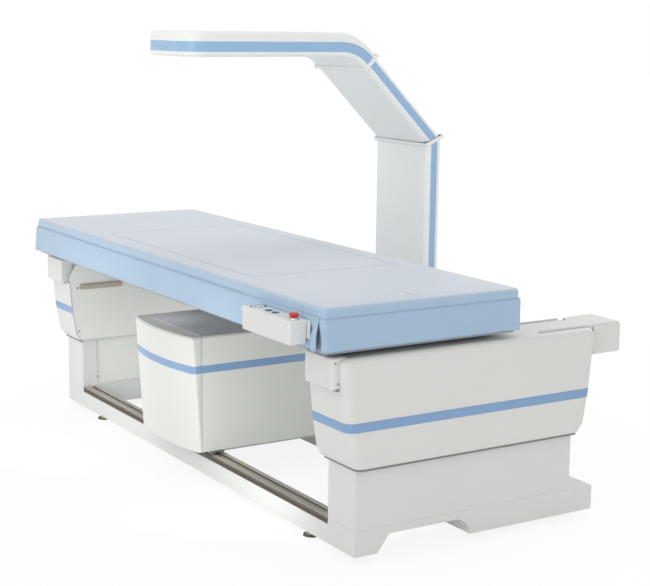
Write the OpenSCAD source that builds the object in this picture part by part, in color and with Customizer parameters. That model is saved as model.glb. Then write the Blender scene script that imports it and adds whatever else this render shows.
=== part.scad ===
// Bone densitometer: a padded patient table on two end stands, with a C-shaped gantry that carries
// an X-ray source under the table and a detector over it.
// X runs along the table, Y to the back, Z up. The origin is on the floor at the middle of the plan.

/* [Base] */
// How far the mattress reaches past the outer face of each end stand
table_over = 10; // [0:1:30]
// Width of each end stand along X
stand_w = 136; // [120:2:150]
// Front face of the stands and of the front base beam
base_front_y = -378.5; // [-390:0.5:-370]
// Rear face of the stands
stand_rear_y = 370.5; // [350:0.5:390]
// Rear end of the plinths
plinth_rear_y = 460.5; // [440:0.5:480]
// Height of the base above the floor
floor_gap = 20; // [15:1:30]
// Height of the plinth's top edge
plinth_top_z = 93; // [88:1:100]
// Sheet thickness of stands, plinths and panels
sheet = 2.5; // [1.5:0.5:4]
// Depth of the stand's front and rear legs
leg_depth = 53; // [40:1:70]
// How far the lower inner panel sits back from the legs
panel_recess = 10; // [4:1:20]
// Width of the base beams across the length
base_beam_w = 56; // [50:1:64]
// Height of the base beams
base_beam_h = 55; // [45:1:60]
// Wall of the base beams
base_beam_wall = 3; // [2:0.5:5]
// Front face of the rear base beam
rear_beam_y = 95.5; // [80:0.5:110]
// Height of the guide rails
rail_h = 17; // [14:1:20]
// Width of the guide rails
rail_w = 54; // [48:1:56]
// Width of the running groove in a rail
groove_w = 20; // [18:1:26]
// Depth of the running groove
groove_d = 4; // [2:1:6]
// Radius of a levelling foot
foot_r = 17; // [12:1:22]
// Thickness of a levelling foot's pad
foot_pad = 8; // [5:1:12]
// Radius of a levelling foot's stud
stud_r = 6; // [4:0.5:8]
// Distance of the beam feet from the middle
foot_x = 725; // [650:5:780]
// Half width of the toe cut-out at the floor side
toe_w = 157; // [130:1:170]
// Height of the toe cut-out above the plinth's lower edge
toe_h = 50; // [35:1:55]
// Y of the middle of the toe cut-out
toe_y = -147; // [-160:1:-120]

/* [End covers] */
// How far the end covers stand out past the stands' outer faces
cover_over = 28; // [20:1:40]
// How far the end covers reach in past the stands' inner faces
cover_lap = 13; // [8:1:20]
// Wall of the end covers
cover_wall = 4; // [3:0.5:6]
// Height of the end covers' top edge
cover_top_z = 574; // [560:1:576]
// Height of the end covers' bottom edge
cover_bottom_z = 269; // [250:1:290]
// Front edge of the end covers at the top
cover_front_y = -441.5; // [-446:0.5:-436]
// Rear edge of the end covers at the top
cover_rear_y = 436.5; // [425:0.5:445]
// Corner radius of the end covers in plan
cover_r = 24; // [16:1:30]
// Radius of the top and bottom edges of the end covers
cover_edge_r = 16; // [8:1:20]
// Height of the middle of the stripe on the end covers
cover_stripe_z = 388; // [370:1:410]
// Width of the stripe on the end covers
cover_stripe_w = 26; // [20:1:32]
// Thickness of all the stripes
stripe_t = 0.6; // [0.4:0.1:1]

/* [Cross beams] */
// Underside of the cross beams on the stands
cross_z = 490; // [480:1:500]
// Top of the cross beams
cross_top_z = 576; // [576:1:582]
// Front end of the cross beams
cross_front_y = -458.5; // [-470:0.5:-450]
// Rear end of the cross beams
cross_rear_y = 551.5; // [540:0.5:560]
// Wall of the cross beams
cross_wall = 4; // [3:0.5:6]
// Wall of the moulded caps on the cross beams
cap_wall = 4; // [3:0.5:5]
// Depth of the front caps
front_cap_d = 45; // [36:1:60]
// Depth of the rear caps
rear_cap_d = 112; // [100:1:130]
// Height of the raised wedge on the rear caps
wedge_h = 5; // [3:1:8]
// Distance of the wedge's inner point from the stand's inner face
wedge_in = 54; // [40:1:70]
// Reach of the wedge in front of the rear cap, at its inner point
wedge_near = 38; // [20:1:60]
// Reach of the wedge in front of the rear cap, along its outer edge
wedge_far = 204; // [150:1:230]
// Distance of the lead screws' front ends behind the beams' front
screw_front_in = 40; // [30:1:60]
// Distance of the lead screws' rear ends before the beams' rear
screw_rear_in = 110; // [90:1:130]

/* [Table] */
// Length of the mattress
pad_l = 2000; // [1900:10:2100]
// Width of the mattress
pad_w = 644; // [620:2:660]
// Y of the table's centre line, at its forward stop
table_y = -166.5; // [-170:0.5:-160]
// Height of the top of the mattress
pad_top_z = 713; // [700:1:730]
// Thickness of the mattress
pad_t = 45; // [35:1:55]
// Height of the lower edge of the mattress skirt
skirt_z = 596; // [590:1:604]
// Thickness of the skirt
skirt_t = 7; // [5:0.5:10]
// Corner radius of the mattress in plan
pad_r = 14; // [8:1:24]
// Thickness of the table board
board_t = 14; // [10:1:20]
// Wall of the table frame's rails
frame_wall = 3; // [2:0.5:5]
// Width of the table frame's rails
frame_w = 40; // [30:1:60]
// Travel of the table to the rear
table_travel = 280; // [200:5:285]
// Radius of the table's lead screws
screw_r = 8; // [6:0.5:10]
// Radial running clearance of screws, shafts and wheels
run_gap = 0.05; // [0.02:0.01:0.1]
// Clearance between sliding faces
slide_gap = 0.3; // [0.2:0.1:0.6]

/* [Screws and bar] */
// Distance of the upper panel's screws behind the covers' front
panel_screw_y = 40.5; // [30:0.5:60]
// Distance of the upper screw below the cross beam
panel_screw_drop = 22; // [15:1:40]
// Distance of the lower panel's screws from the stand's front and rear
foot_screw_in = 62.5; // [58:0.5:80]
// Height of the lower panel's screws over the plinth
foot_screw_z = 30; // [20:1:60]
// Radius of the screw heads
head_r = 4; // [3:0.5:6]
// Height of the screw heads
head_t = 2; // [1.5:0.5:4]
// Length of the bar on the left upper panel
bar_l = 167; // [120:1:200]
// Height of the middle of that bar
bar_z = 472; // [450:1:480]
// Height of the bar's section
bar_h = 20; // [8:1:24]
// Thickness of the bar
bar_t = 8; // [4:1:12]
// Distance of the bar's front end behind the covers' front
bar_front = 48.5; // [40:0.5:80]

/* [Control box] */
// Distance of the control box's middle from the table's right end
control_end = 200; // [180:1:220]
// Length of the control box
control_l = 256; // [240:1:280]
// Depth of the control box
control_d = 59; // [54:1:66]
// Top of the control box
control_top_z = 673; // [665:1:680]
// Height of the control box with its lid
control_h = 65; // [55:1:72]
// Height of the lid
lid_h = 13; // [10:1:16]
// Wall of the control box
control_wall = 3; // [2:0.5:4]
// Gap between the skirt and the control box
control_gap = 4; // [4:0.5:12]
// Radius of the emergency stop button
stop_r = 12.5; // [10:0.5:16]
// Travel of the emergency stop button
stop_travel = 4; // [3:0.5:6]
// Travel of the oval keys
key_travel = 1; // [0.5:0.1:1.5]

/* [Inner parts] */
// Gap between the power supply and the stand's outer wall
supply_gap = 20; // [10:1:30]
// Width of the power supply
supply_w = 88; // [60:2:100]
// Length of the power supply
supply_l = 240; // [200:5:280]
// Height of the power supply
supply_h = 150; // [100:5:180]
// Front end of the power supply
supply_y = -300; // [-320:5:-250]
// Gap between the control board's case and the stand's inner face
case_gap = 30; // [20:1:50]
// Thickness of the control board's case
case_t = 50; // [30:1:70]
// Length of the control board's case
case_l = 320; // [250:5:360]
// Height of the control board's case
case_h = 220; // [150:5:260]
// Front end of the control board's case
case_y = -260; // [-300:5:-220]
// Width of the high-voltage generator
generator_w = 220; // [160:5:260]
// Length of the high-voltage generator
generator_l = 210; // [150:5:230]
// Height of the high-voltage generator
generator_h = 220; // [150:5:260]
// Front end of the high-voltage generator
generator_y = -150; // [-160:5:-120]

/* [Gantry] */
// Middle of the source housing along the table
source_x = -51; // [-60:1:-40]
// Width of the source housing
source_w = 410; // [380:2:430]
// Underside of the source housing
source_z = 103; // [100:1:110]
// Top of the source housing
source_top_z = 474; // [450:1:480]
// Front edge of the source housing at its sides, at the top
source_front_y = -440.5; // [-448:0.5:-430]
// Rear end of the source housing
source_rear_y = 170; // [160:1:200]
// Depth of the bow of the front cover
source_bow = 27; // [15:1:40]
// How far the front leans back from top to bottom
source_lean = 26; // [15:1:35]
// Depth of the front cover along Y, at the top of its sides
source_cover_d = 37; // [30:1:50]
// Wall of the gantry's shells
shell = 3; // [2:0.5:5]
// Height of the grey top plate
source_cap_h = 6; // [4:1:10]
// Height of the middle of the stripe on the source housing
source_stripe_z = 369; // [350:1:390]
// Width of the stripe on the source housing
source_stripe_w = 24; // [18:1:30]
// Middle of the column and arm along the table
arm_x = -58; // [-70:1:-50]
// Width of the column and arm along X
arm_w = 307; // [280:1:320]
// Thickness of the column and of the slanted section
arm_t = 62; // [54:1:70]
// Thickness of the horizontal arm
top_t = 77; // [70:1:84]
// Y of the column's middle plane
column_y = 507.5; // [500:0.5:515]
// Height at which the column bends into the slanted section
bend_z = 1046; // [1000:1:1080]
// Height of the stripe's middle on the horizontal arm
arm_stripe_z = 1356; // [1330:1:1380]
// Radius of the arm's upper bend, on its middle line
arc_r = 150; // [110:5:180]
// Distance of the upper ring below the start of that bend
ring_back = 7; // [2:0.5:20]
// Front end of the horizontal arm
nose_y = -421; // [-440:0.5:-400]
// Corner radius of the arm's nose in plan
nose_r = 67; // [50:1:80]
// Width of the stripe on the column
column_stripe_w = 24; // [18:1:30]
// Width of the stripe on the slanted section
slant_stripe_w = 24; // [16:1:30]
// Width of the stripe on the arm
arm_stripe_w = 31; // [22:1:36]
// Width of the joint rings on the arm
ring_w = 13; // [8:1:18]
// How far the joint rings stand proud
ring_proud = 5; // [3:0.5:8]
// Height of the cover over the carriage's rear bridge
bridge_top_z = 270; // [220:5:300]
// Radius of the gantry's wheels
wheel_r = 10; // [8:0.5:11]
// Radius of the gantry's wheel axles
axle_r = 4; // [3:0.5:5]
// Radius of the drive belt's pulleys
pulley_r = 18; // [14:1:20]
// Width of the drive belt
belt_w = 16; // [10:1:20]
// Thickness of the drive belt
belt_t = 3; // [2:0.5:4]

/* [Hidden] */
$fn = 48;
// A small overrun that lets cuts pass through a face
eps = 1;
// A length beyond the part's own, for cuts that go right through
far = 2 * pad_l;
// Outer faces of the end stands, and of the end covers round them
stand_out_x = pad_l / 2 - table_over;
cover_out_x = stand_out_x + cover_over;
// Inner faces of the end stands
stand_in_x = stand_out_x - stand_w;
// Middle of an end stand
stand_mid_x = stand_out_x - stand_w / 2;
// Inner rim of the end covers
cover_in_x = stand_in_x - cover_lap;
// Top of the base beams, which the rails lie on
rail_z = floor_gap + base_beam_h;
// Floor of the rails' grooves, which the wheels run on
track_z = rail_z + rail_h - groove_d;
// Middle lines of the front and rear rails
front_rail_y = base_front_y + base_beam_w - rail_w / 2;
rear_rail_y = rear_beam_y + base_beam_w - rail_w / 2;
// The beam inside its caps
beam_in_x = stand_in_x + cap_wall;
beam_w = stand_w - 2 * cap_wall;
beam_z = cross_z + cap_wall;
beam_h = cross_top_z - cross_z - 2 * cap_wall;
beam_top_z = beam_z + beam_h;
// Lead screws of the table, inside the cross beams
screw_block = 44;
screw_x = beam_in_x + cross_wall + screw_block / 2;
screw_z = beam_z + beam_h / 2;
screw_front_y = cross_front_y + screw_front_in;
screw_rear_y = cross_rear_y - screw_rear_in;
nut_l = 50;
slot_w = 16;
runner_y = [cross_front_y + front_cap_d + 1, table_y + 280];
runner_w = 36;
frame_z = beam_top_z + slide_gap + 16;
// Levels of the table's layers
pad_z = pad_top_z - pad_t;
board_z = pad_z - board_t;
frame_gap = 2;
frame_half_x = pad_l / 2 - skirt_t - frame_gap;
frame_half_y = pad_w / 2 - skirt_t - frame_gap;
// The control box in front of the skirt
control_x = pad_l / 2 - control_end;
control_back_y = table_y - pad_w / 2 - control_gap;
control_y = control_back_y - control_d / 2;
control_z = control_top_z - control_h;
bracket_w = 90;
bracket_h = 28;
key_r = 10;
ring_key_r = 24;
key_flange = 2;
// The source housing
source_l_x = source_x - source_w / 2;
source_r_x = source_x + source_w / 2;
source_seam_y = source_front_y + source_cover_d;
bow_r = (source_w * source_w / 4 + source_bow * source_bow) / (2 * source_bow);
plate_h = 6;
plate_top_z = source_z + plate_h;
// Wheels of the gantry carriage
wheel_w = groove_w - 2;
wheel_z = track_z + wheel_r + slide_gap;
ear_l = 2 * wheel_r + 6;
ear_w = 14;
wheel_x = [source_l_x + ear_l / 2, source_r_x - ear_l / 2];
// The drive belt behind the rear beam
belt_y = rear_beam_y + base_beam_w + 18;
belt_z = floor_gap + 42;
belt_r = pulley_r + slide_gap;
belt_x = stand_in_x - 39;
shaft_r = 5;
bracket_t = 6;
motor_w = 56;
clamp_z = belt_z + belt_r + belt_t + slide_gap;
// The arm's bends
bend_t = tan(22.5);
bend_y = column_y + bend_z - arm_stripe_z;
arc_y = bend_y - arc_r * bend_t;
arc_z = arm_stripe_z - arc_r;
half_t = arm_t / 2;
top_extra = top_t - arm_t;
// Distance of the upper ring from the lower one, along the slanted section
ring_run = (arm_stripe_z - bend_z) / sin(45) - arc_r * bend_t - ring_back;
ring_y = column_y - ring_run * cos(45);
ring_z = bend_z + ring_run * sin(45);
// The steel spine inside the arm
spine_w = 120;
spine_wall = 4;

// ---------------------------------------------------------------- shared shapes

// A box from one corner to the opposite one
module block(low, high) {
  translate(low) cube(high - low);
}

// A section drawn in Y and Z, drawn out along X from x0 to x1
module along_x(x0, x1) {
  translate([x0, 0, 0]) rotate([90, 0, 90]) linear_extrude(x1 - x0) children();
}

// A section drawn in X and Z, drawn out along Y from y0 to y1
module along_y(y0, y1) {
  translate([0, y1, 0]) rotate([90, 0, 0]) linear_extrude(y1 - y0) children();
}

// A rectangle with round corners, from one corner to the opposite one
module round_rect(low, high, r) {
  translate([low[0] + r, low[1]]) square([high[0] - low[0] - 2 * r, high[1] - low[1]]);
  translate([low[0], low[1] + r]) square([high[0] - low[0], high[1] - low[1] - 2 * r]);
  for (x = [low[0] + r, high[0] - r], y = [low[1] + r, high[1] - r])
    translate([x, y]) circle(r);
}

// A rod along Y
module rod_y(x, y0, y1, z, r) {
  translate([x, y1, z]) rotate([90, 0, 0]) cylinder(h = y1 - y0, r = r);
}

// The same thing at the left end and at the right end
module both_ends() {
  for (side = [0, 1]) mirror([side, 0, 0]) children();
}

module left_end() {
  mirror([1, 0, 0]) children();
}

// ---------------------------------------------------------------- base

// A rectangular steel tube between the two stands
module base_beam(y) {
  w = base_beam_wall;
  difference() {
    block([-stand_in_x, y, floor_gap], [stand_in_x, y + base_beam_w, rail_z]);
    block([-stand_in_x - eps, y + w, floor_gap + w],
          [stand_in_x + eps, y + base_beam_w - w, rail_z - w]);
  }
}

module front_beam() {
  color("white") base_beam(base_front_y);
}

module rear_beam() {
  color("white") base_beam(rear_beam_y);
}

// A flat stainless bar that the wheels run on
module guide_rail(y) {
  block([-stand_in_x, y - rail_w / 2, rail_z], [stand_in_x, y + rail_w / 2, track_z]);
}

module front_rail() {
  color("silver") guide_rail(front_rail_y);
}

module rear_rail() {
  color("silver") guide_rail(rear_rail_y);
}

// Stainless strips along both sides of each bar, which leave a shallow groove for the wheels
module guide_strips() {
  color("silver") for (y = [front_rail_y, rear_rail_y], way = [-1, 1])
    block([-stand_in_x, min(y + way * groove_w / 2, y + way * rail_w / 2), track_z],
          [stand_in_x, max(y + way * groove_w / 2, y + way * rail_w / 2), rail_z + rail_h]);
}

// A pad on a threaded stud, under each end of the beams and under the rear of each plinth
module levelling_feet() {
  places = [
    [foot_x, base_front_y + base_beam_w / 2],
    [foot_x, rear_beam_y + base_beam_w / 2],
    [stand_mid_x, plinth_rear_y - 30]
  ];
  color("tan") both_ends() for (p = places) translate(p) {
    cylinder(h = foot_pad, r = foot_r);
    cylinder(h = floor_gap, r = stud_r);
  }
}

// Outline of the toe cut-out in Y and Z, grown by g
function toe(g) = concat(
  [[toe_y - toe_w - g, -eps], [toe_y - toe_w - g, 0], [toe_y - toe_w + 38 - g, toe_h + g]],
  [for (a = [90:-15:0]) [toe_y + toe_w - 54 + (54 + g) * cos(a), (toe_h + g) * sin(a)]],
  [[toe_y + toe_w + g, -eps]]
);

module toe_recess(g) {
  translate([0, 0, floor_gap])
    along_x(stand_in_x + sheet, stand_out_x + eps) polygon(toe(g));
}

// A sheet-metal plinth, open below, with a toe recess in its end face
module plinth() {
  color("whitesmoke") difference() {
    block([stand_in_x, base_front_y, floor_gap], [stand_out_x, plinth_rear_y, plinth_top_z]);
    difference() {
      block([stand_in_x + sheet, base_front_y + sheet, floor_gap - eps],
            [stand_out_x - sheet, plinth_rear_y - sheet, plinth_top_z - sheet]);
      toe_recess(sheet);
      block([stand_in_x, plinth_rear_y - 60, floor_gap], [stand_out_x, plinth_rear_y, floor_gap + sheet]);
    }
    toe_recess(0);
  }
}

module left_plinth() {
  left_end() plinth();
}

module right_plinth() {
  difference() {
    plinth();
    inlet_body(plinth_rear_y - sheet - eps, plinth_rear_y + eps, 0);
  }
}

// A folded sheet-steel stand: a box with a large window on its inner side, between its two legs
module stand() {
  z0 = plinth_top_z;
  color("whitesmoke") difference() {
    block([stand_in_x, base_front_y, z0], [stand_out_x, stand_rear_y, beam_z]);
    block([stand_in_x + sheet, base_front_y + sheet, z0 + sheet],
          [stand_out_x - sheet, stand_rear_y - sheet, beam_z - sheet]);
    block([stand_in_x - eps, base_front_y + leg_depth, z0 + sheet],
          [stand_in_x + sheet + eps, stand_rear_y - leg_depth, beam_z - sheet]);
  }
}

module left_stand() {
  left_end() stand();
}

module right_stand() {
  stand();
}

// A tray-shaped panel that closes the window of each stand
module inner_panels() {
  z0 = plinth_top_z + sheet;
  z1 = beam_z - sheet;
  y0 = base_front_y + leg_depth;
  y1 = stand_rear_y - leg_depth;
  color("gainsboro") both_ends() difference() {
    block([stand_in_x, y0, z0], [stand_in_x + panel_recess + sheet, y1, z1]);
    block([stand_in_x - eps, y0 + sheet, z0 + sheet], [stand_in_x + panel_recess, y1 - sheet, z1 - sheet]);
  }
}

// ---------------------------------------------------------------- end covers

// How far the cover leans in at each height
cover_knee_z = cover_bottom_z + 28;
function cover_in(z) = lookup(z, [
  [cover_bottom_z, 46], [cover_knee_z, 32], [cover_stripe_z, 17], [cover_top_z, 0]
]);

// Plan outline of the cover at one height, set in by g all round but at its inner rim
module cover_level(z, g) {
  x0 = g > 0 ? cover_in_x - eps : cover_in_x;
  y0 = cover_front_y + cover_in(z) + g;
  y1 = cover_rear_y - cover_in(z) - g;
  x1 = cover_out_x - g;
  r = max(cover_r - g, 2);
  translate([0, 0, z]) linear_extrude(0.01) {
    for (y = [y0 + r, y1 - r]) translate([x1 - r, y]) circle(r, $fn = 32);
    translate([x0, y0]) square([1, y1 - y0]);
  }
}

// The cover's convex body, grown inwards by g and rounded at its top and bottom edges
module cover_form(g) {
  r = cover_edge_r;
  z0 = cover_bottom_z + g;
  z1 = cover_top_z - g - 0.01;
  hull() {
    for (a = [0:30:90]) {
      cover_level(z0 + r * (1 - cos(a)), g + r * (1 - sin(a)));
      cover_level(z1 - r * (1 - cos(a)), g + r * (1 - sin(a)));
    }
    cover_level(cover_knee_z, g);
    cover_level(cover_stripe_z, g);
  }
}

// A moulded cover round the top of each stand, notched for the cross beam and hugging the stand below
module cover() {
  color("whitesmoke") difference() {
    cover_form(0);
    cover_form(cover_wall);
    block([cover_in_x - eps, cross_front_y, cross_z], [stand_out_x, cross_rear_y, cross_top_z + eps]);
    block([stand_in_x, base_front_y, cover_bottom_z - eps],
          [stand_out_x, stand_rear_y, cover_bottom_z + cover_wall + eps]);
  }
}

module left_cover() {
  left_end() cover();
}

module right_cover() {
  cover();
}

// A blue band laid round each end cover
module cover_stripes() {
  half = cover_stripe_w / 2;
  color("steelblue") both_ends() difference() {
    intersection() {
      cover_form(-stripe_t);
      block([cover_in_x, -far, cover_stripe_z - half], [far, far, cover_stripe_z + half]);
    }
    cover_form(0);
  }
}

// Outline of the upper inner panel, in Y and Z, inside the cover's walls
panel_cut = 50;
function panel_side(y, way) = concat(
  [for (a = [0:30:90]) let (z = cover_bottom_z + cover_wall + cover_edge_r * (1 - cos(a)))
    [y + way * (cover_in(z) + cover_wall + cover_edge_r * (1 - sin(a))), z]],
  [for (z = [cover_knee_z, cover_stripe_z]) [y + way * (cover_in(z) + cover_wall), z]]
);

// A flat panel over the open inner side of each cover, its front top corner cut off
module upper_panels() {
  z1 = cross_top_z - 2;
  front = panel_side(cover_front_y, 1);
  rear = panel_side(cover_rear_y, -1);
  outline = concat(
    front,
    [[cover_front_y + cover_wall + 7, z1 - panel_cut - 14], [cover_front_y + panel_cut, z1]],
    [[cover_rear_y - cover_wall - 2, z1]],
    [for (i = [len(rear) - 1:-1:0]) rear[i]]
  );
  color("gainsboro") both_ends()
    along_x(cover_in_x, cover_in_x + sheet) polygon(outline);
}

// Pan-head screws in the upper panels and in the lower inner panels
module cover_screws() {
  upper = [[cover_front_y + panel_screw_y, cross_z - panel_screw_drop],
           [cover_front_y + panel_screw_y + 5, cover_knee_z + 10]];
  lower = [for (y = [base_front_y + foot_screw_in, stand_rear_y - foot_screw_in]) [y, plinth_top_z + foot_screw_z]];
  color("darkgray") both_ends() {
    for (p = upper) translate([cover_in_x, p[0], p[1]]) rotate([0, -90, 0]) cylinder(h = head_t, r = head_r);
    for (p = lower)
      translate([stand_in_x + panel_recess, p[0], p[1]]) rotate([0, -90, 0]) cylinder(h = head_t, r = head_r);
  }
}

// A dark steel bar along the left upper panel
module guide_bar() {
  y0 = cover_front_y + bar_front;
  color("dimgray") left_end() block([cover_in_x - bar_t, y0, bar_z - bar_h / 2],
                                    [cover_in_x, y0 + bar_l, bar_z + bar_h / 2]);
}

// ---------------------------------------------------------------- cross beams

// A steel tube along Y on each stand, slotted on top for the lead-screw nut
module cross_beam() {
  w = cross_wall;
  y0 = cross_front_y + cap_wall;
  y1 = cross_rear_y - cap_wall;
  color("white") difference() {
    block([beam_in_x, y0, beam_z], [beam_in_x + beam_w, y1, beam_top_z]);
    block([beam_in_x + w, y0 - eps, beam_z + w], [beam_in_x + beam_w - w, y1 + eps, beam_top_z - w]);
    block([screw_x - slot_w / 2, table_y - nut_l / 2 - 4, beam_top_z - w - eps],
          [screw_x + slot_w / 2, table_y + table_travel + nut_l / 2 + 4, beam_top_z + eps]);
  }
}

module left_cross_beam() {
  left_end() cross_beam();
}

module right_cross_beam() {
  cross_beam();
}

// The outer form of a cap: a round-edged block over the beam's end
module cap_form(y0, y1, r) {
  intersection() {
    along_y(y0, y1) round_rect([stand_in_x, cross_z], [stand_out_x, cross_top_z], 8);
    translate([0, 0, cross_z]) linear_extrude(cross_top_z - cross_z)
      round_rect([stand_in_x, y0], [stand_out_x, y1], r);
  }
}

module beam_bore(y0, y1) {
  block([beam_in_x, y0, beam_z], [beam_in_x + beam_w, y1, beam_top_z]);
}

// Moulded caps on the front ends of the cross beams
module front_caps() {
  y1 = cross_front_y + front_cap_d;
  color("whitesmoke") both_ends() difference() {
    cap_form(cross_front_y, y1 + 20, 12);
    beam_bore(cross_front_y + cap_wall, y1 + eps);
    block([stand_in_x - eps, y1, cross_z - eps], [stand_out_x + eps, y1 + 21, cross_top_z + eps]);
  }
}

// Moulded caps on the rear ends, with a low wedge on top that runs forward over the beam
module rear_caps() {
  y0 = cross_rear_y - rear_cap_d;
  wedge = [[stand_in_x + wedge_in, y0 - wedge_near], [stand_out_x - 5, y0 - wedge_far], [stand_out_x - 5, cross_rear_y - 8],
           [stand_in_x + 12, cross_rear_y - 8], [stand_in_x + 12, y0]];
  color("whitesmoke") both_ends() union() {
    difference() {
      cap_form(y0 - 20, cross_rear_y, 12);
      beam_bore(y0 - eps, cross_rear_y - cap_wall);
      block([stand_in_x - eps, y0 - 21, cross_z - eps], [stand_out_x + eps, y0, cross_top_z + eps]);
    }
    translate([0, 0, beam_top_z]) linear_extrude(cross_top_z - beam_top_z + wedge_h) polygon(wedge);
  }
}

// Threaded shafts along Y that push the table, one in each cross beam
module lead_screw() {
  color("silver") rod_y(screw_x, screw_front_y, screw_rear_y + 20, screw_z, screw_r);
}

module left_lead_screw() {
  left_end() lead_screw();
}

module right_lead_screw() {
  lead_screw();
}

module screw_housing(y0, y1) {
  s = screw_block / 2;
  block([screw_x - s, y0, screw_z - s], [screw_x + s, y1, screw_z + s]);
}

// Motors at the rear ends of the lead screws
module table_motors() {
  color("dimgray") both_ends() difference() {
    screw_housing(screw_rear_y, screw_rear_y + 70);
    rod_y(screw_x, screw_rear_y - eps, screw_rear_y + 21, screw_z, screw_r + run_gap);
  }
}

// Bearing blocks at the front ends of the lead screws
module screw_bearings() {
  color("gray") both_ends() difference() {
    screw_housing(screw_front_y, screw_front_y + 20);
    rod_y(screw_x, screw_front_y - eps, screw_front_y + 21, screw_z, screw_r + run_gap);
  }
}

// ---------------------------------------------------------------- electrics in the base

// A block at the inlet's place, set in by g
inlet_z = floor_gap + 36;
inlet_d = 20;
module inlet_body(y0, y1, g) {
  block([stand_mid_x - 14 + g, y0, inlet_z - 11 + g], [stand_mid_x + 14 - g, y1, inlet_z + 11 - g]);
}

// The appliance inlet in the rear of the right plinth, an open socket with a flange
module mains_inlet() {
  color("black") difference() {
    union() {
      inlet_body(plinth_rear_y, plinth_rear_y + 2, -4);
      inlet_body(plinth_rear_y - inlet_d, plinth_rear_y + 2, 0);
    }
    inlet_body(plinth_rear_y - inlet_d + 3, plinth_rear_y + 2 + eps, 2.5);
  }
}

// The power supply stands on the floor of the right stand
supply_x = stand_out_x - supply_gap - supply_w / 2;
module power_supply() {
  z0 = plinth_top_z + sheet;
  color("silver") block([supply_x - supply_w / 2, supply_y, z0], [supply_x + supply_w / 2, supply_y + supply_l, z0 + supply_h]);
}

// The boxed control board on the floor of the left stand
module control_board() {
  z0 = plinth_top_z + sheet;
  color("seagreen") left_end() block([stand_in_x + case_gap, case_y, z0], [stand_in_x + case_gap + case_t, case_y + case_l, z0 + case_h]);
}

// ---------------------------------------------------------------- gantry drive

// A bracket behind the rear beam, with two uprights and a shelf
module belt_bracket() {
  y0 = rear_beam_y + base_beam_w;
  y1 = belt_y + belt_w / 2 + 5;
  half = motor_w / 2;
  z0 = belt_z - half - bracket_t;
  difference() {
    union() {
      block([belt_x - half, y0, z0], [belt_x + half, y1 + motor_w, z0 + bracket_t]);
      block([belt_x - half, y0, z0], [belt_x + half, y0 + bracket_t, belt_z + half]);
      block([belt_x - half, y1, z0], [belt_x + half, y1 + bracket_t, belt_z + half]);
    }
    rod_y(belt_x, y0 - eps, y1 + bracket_t + eps, belt_z, shaft_r + run_gap);
  }
}

module belt_brackets() {
  color("gray") both_ends() belt_bracket();
}

// The gantry's drive motor, on the left bracket's shelf
module gantry_motor() {
  y0 = belt_y + belt_w / 2 + 5 + bracket_t;
  half = motor_w / 2;
  color("dimgray") left_end() difference() {
    block([belt_x - half, y0, belt_z - half], [belt_x + half, y0 + motor_w - bracket_t, belt_z + half]);
    rod_y(belt_x, y0 - eps, y0 + 20 + eps, belt_z, shaft_r + run_gap);
  }
}

// A belt pulley fixed on its shaft
module pulley(shaft_end) {
  y0 = rear_beam_y + base_beam_w + 0.5;
  rod_y(belt_x, belt_y - belt_w / 2, belt_y + belt_w / 2, belt_z, pulley_r);
  rod_y(belt_x, y0, shaft_end, belt_z, shaft_r);
}

module drive_pulley() {
  color("silver") left_end() pulley(belt_y + belt_w / 2 + 5 + bracket_t + 18);
}

module idler_pulley() {
  color("silver") pulley(belt_y + belt_w / 2 + 5 + bracket_t);
}

// Outline of the belt loop in X and Z at one radius
module belt_loop(r) {
  translate([-belt_x, belt_z]) circle(r);
  translate([belt_x, belt_z]) circle(r);
  translate([-belt_x, belt_z - r]) square([2 * belt_x, 2 * r]);
}

// The toothed belt round both pulleys
module gantry_belt() {
  color("black") along_y(belt_y - belt_w / 2, belt_y + belt_w / 2) difference() {
    belt_loop(belt_r + belt_t);
    belt_loop(belt_r);
  }
}

// ---------------------------------------------------------------- table

// A rectangle centred on the table, with half lengths x and y and corner radius r
module table_plan(x, y, r) {
  translate([0, table_y]) round_rect([-x, -y], [x, y], r);
}

// A tray-like frame of channel rails under the board, with its two runners on the cross beams
module table_frame() {
  x = frame_half_x;
  y = frame_half_y;
  w = frame_w;
  color("lightsteelblue") {
    difference() {
      union() {
        translate([0, 0, frame_z]) linear_extrude(board_z - frame_z) difference() {
          table_plan(x, y, 8);
          table_plan(x - w, y - w, 4);
        }
        for (side = [-1, 1])
          block([side * screw_x - w / 2, table_y - y + w / 2, frame_z],
                [side * screw_x + w / 2, table_y + y - w / 2, board_z]);
      }
      translate([0, 0, frame_z + frame_wall]) linear_extrude(board_z - frame_z) difference() {
        table_plan(x - frame_wall, y - frame_wall, 5);
        table_plan(x - w + frame_wall, y - w + frame_wall, 7);
      }
    }
    for (side = [-1, 1])
      block([side * screw_x - runner_w / 2, runner_y[0], beam_top_z + slide_gap],
            [side * screw_x + runner_w / 2, runner_y[1], frame_z]);
  }
}

// The flat radiolucent board on the frame
module table_board() {
  color("slategray") translate([0, 0, board_z]) linear_extrude(board_t)
    table_plan(frame_half_x, frame_half_y, 8);
}

// The mattress with its skirt down over the frame, notched behind the control box
module mattress() {
  x = pad_l / 2;
  y = pad_w / 2;
  g = skirt_t;
  color("lightsteelblue") difference() {
    translate([0, 0, skirt_z]) linear_extrude(pad_top_z - skirt_z) table_plan(x, y, pad_r);
    translate([0, 0, skirt_z - eps]) linear_extrude(pad_z - skirt_z + eps)
      table_plan(x - g, y - g, max(pad_r - g, 2));
    block([control_x - bracket_w / 2 - 3, table_y - y - eps, skirt_z - eps],
          [control_x + bracket_w / 2 + 3, table_y - y + g + eps, control_z + 4 + bracket_h + 3]);
  }
}

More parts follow.
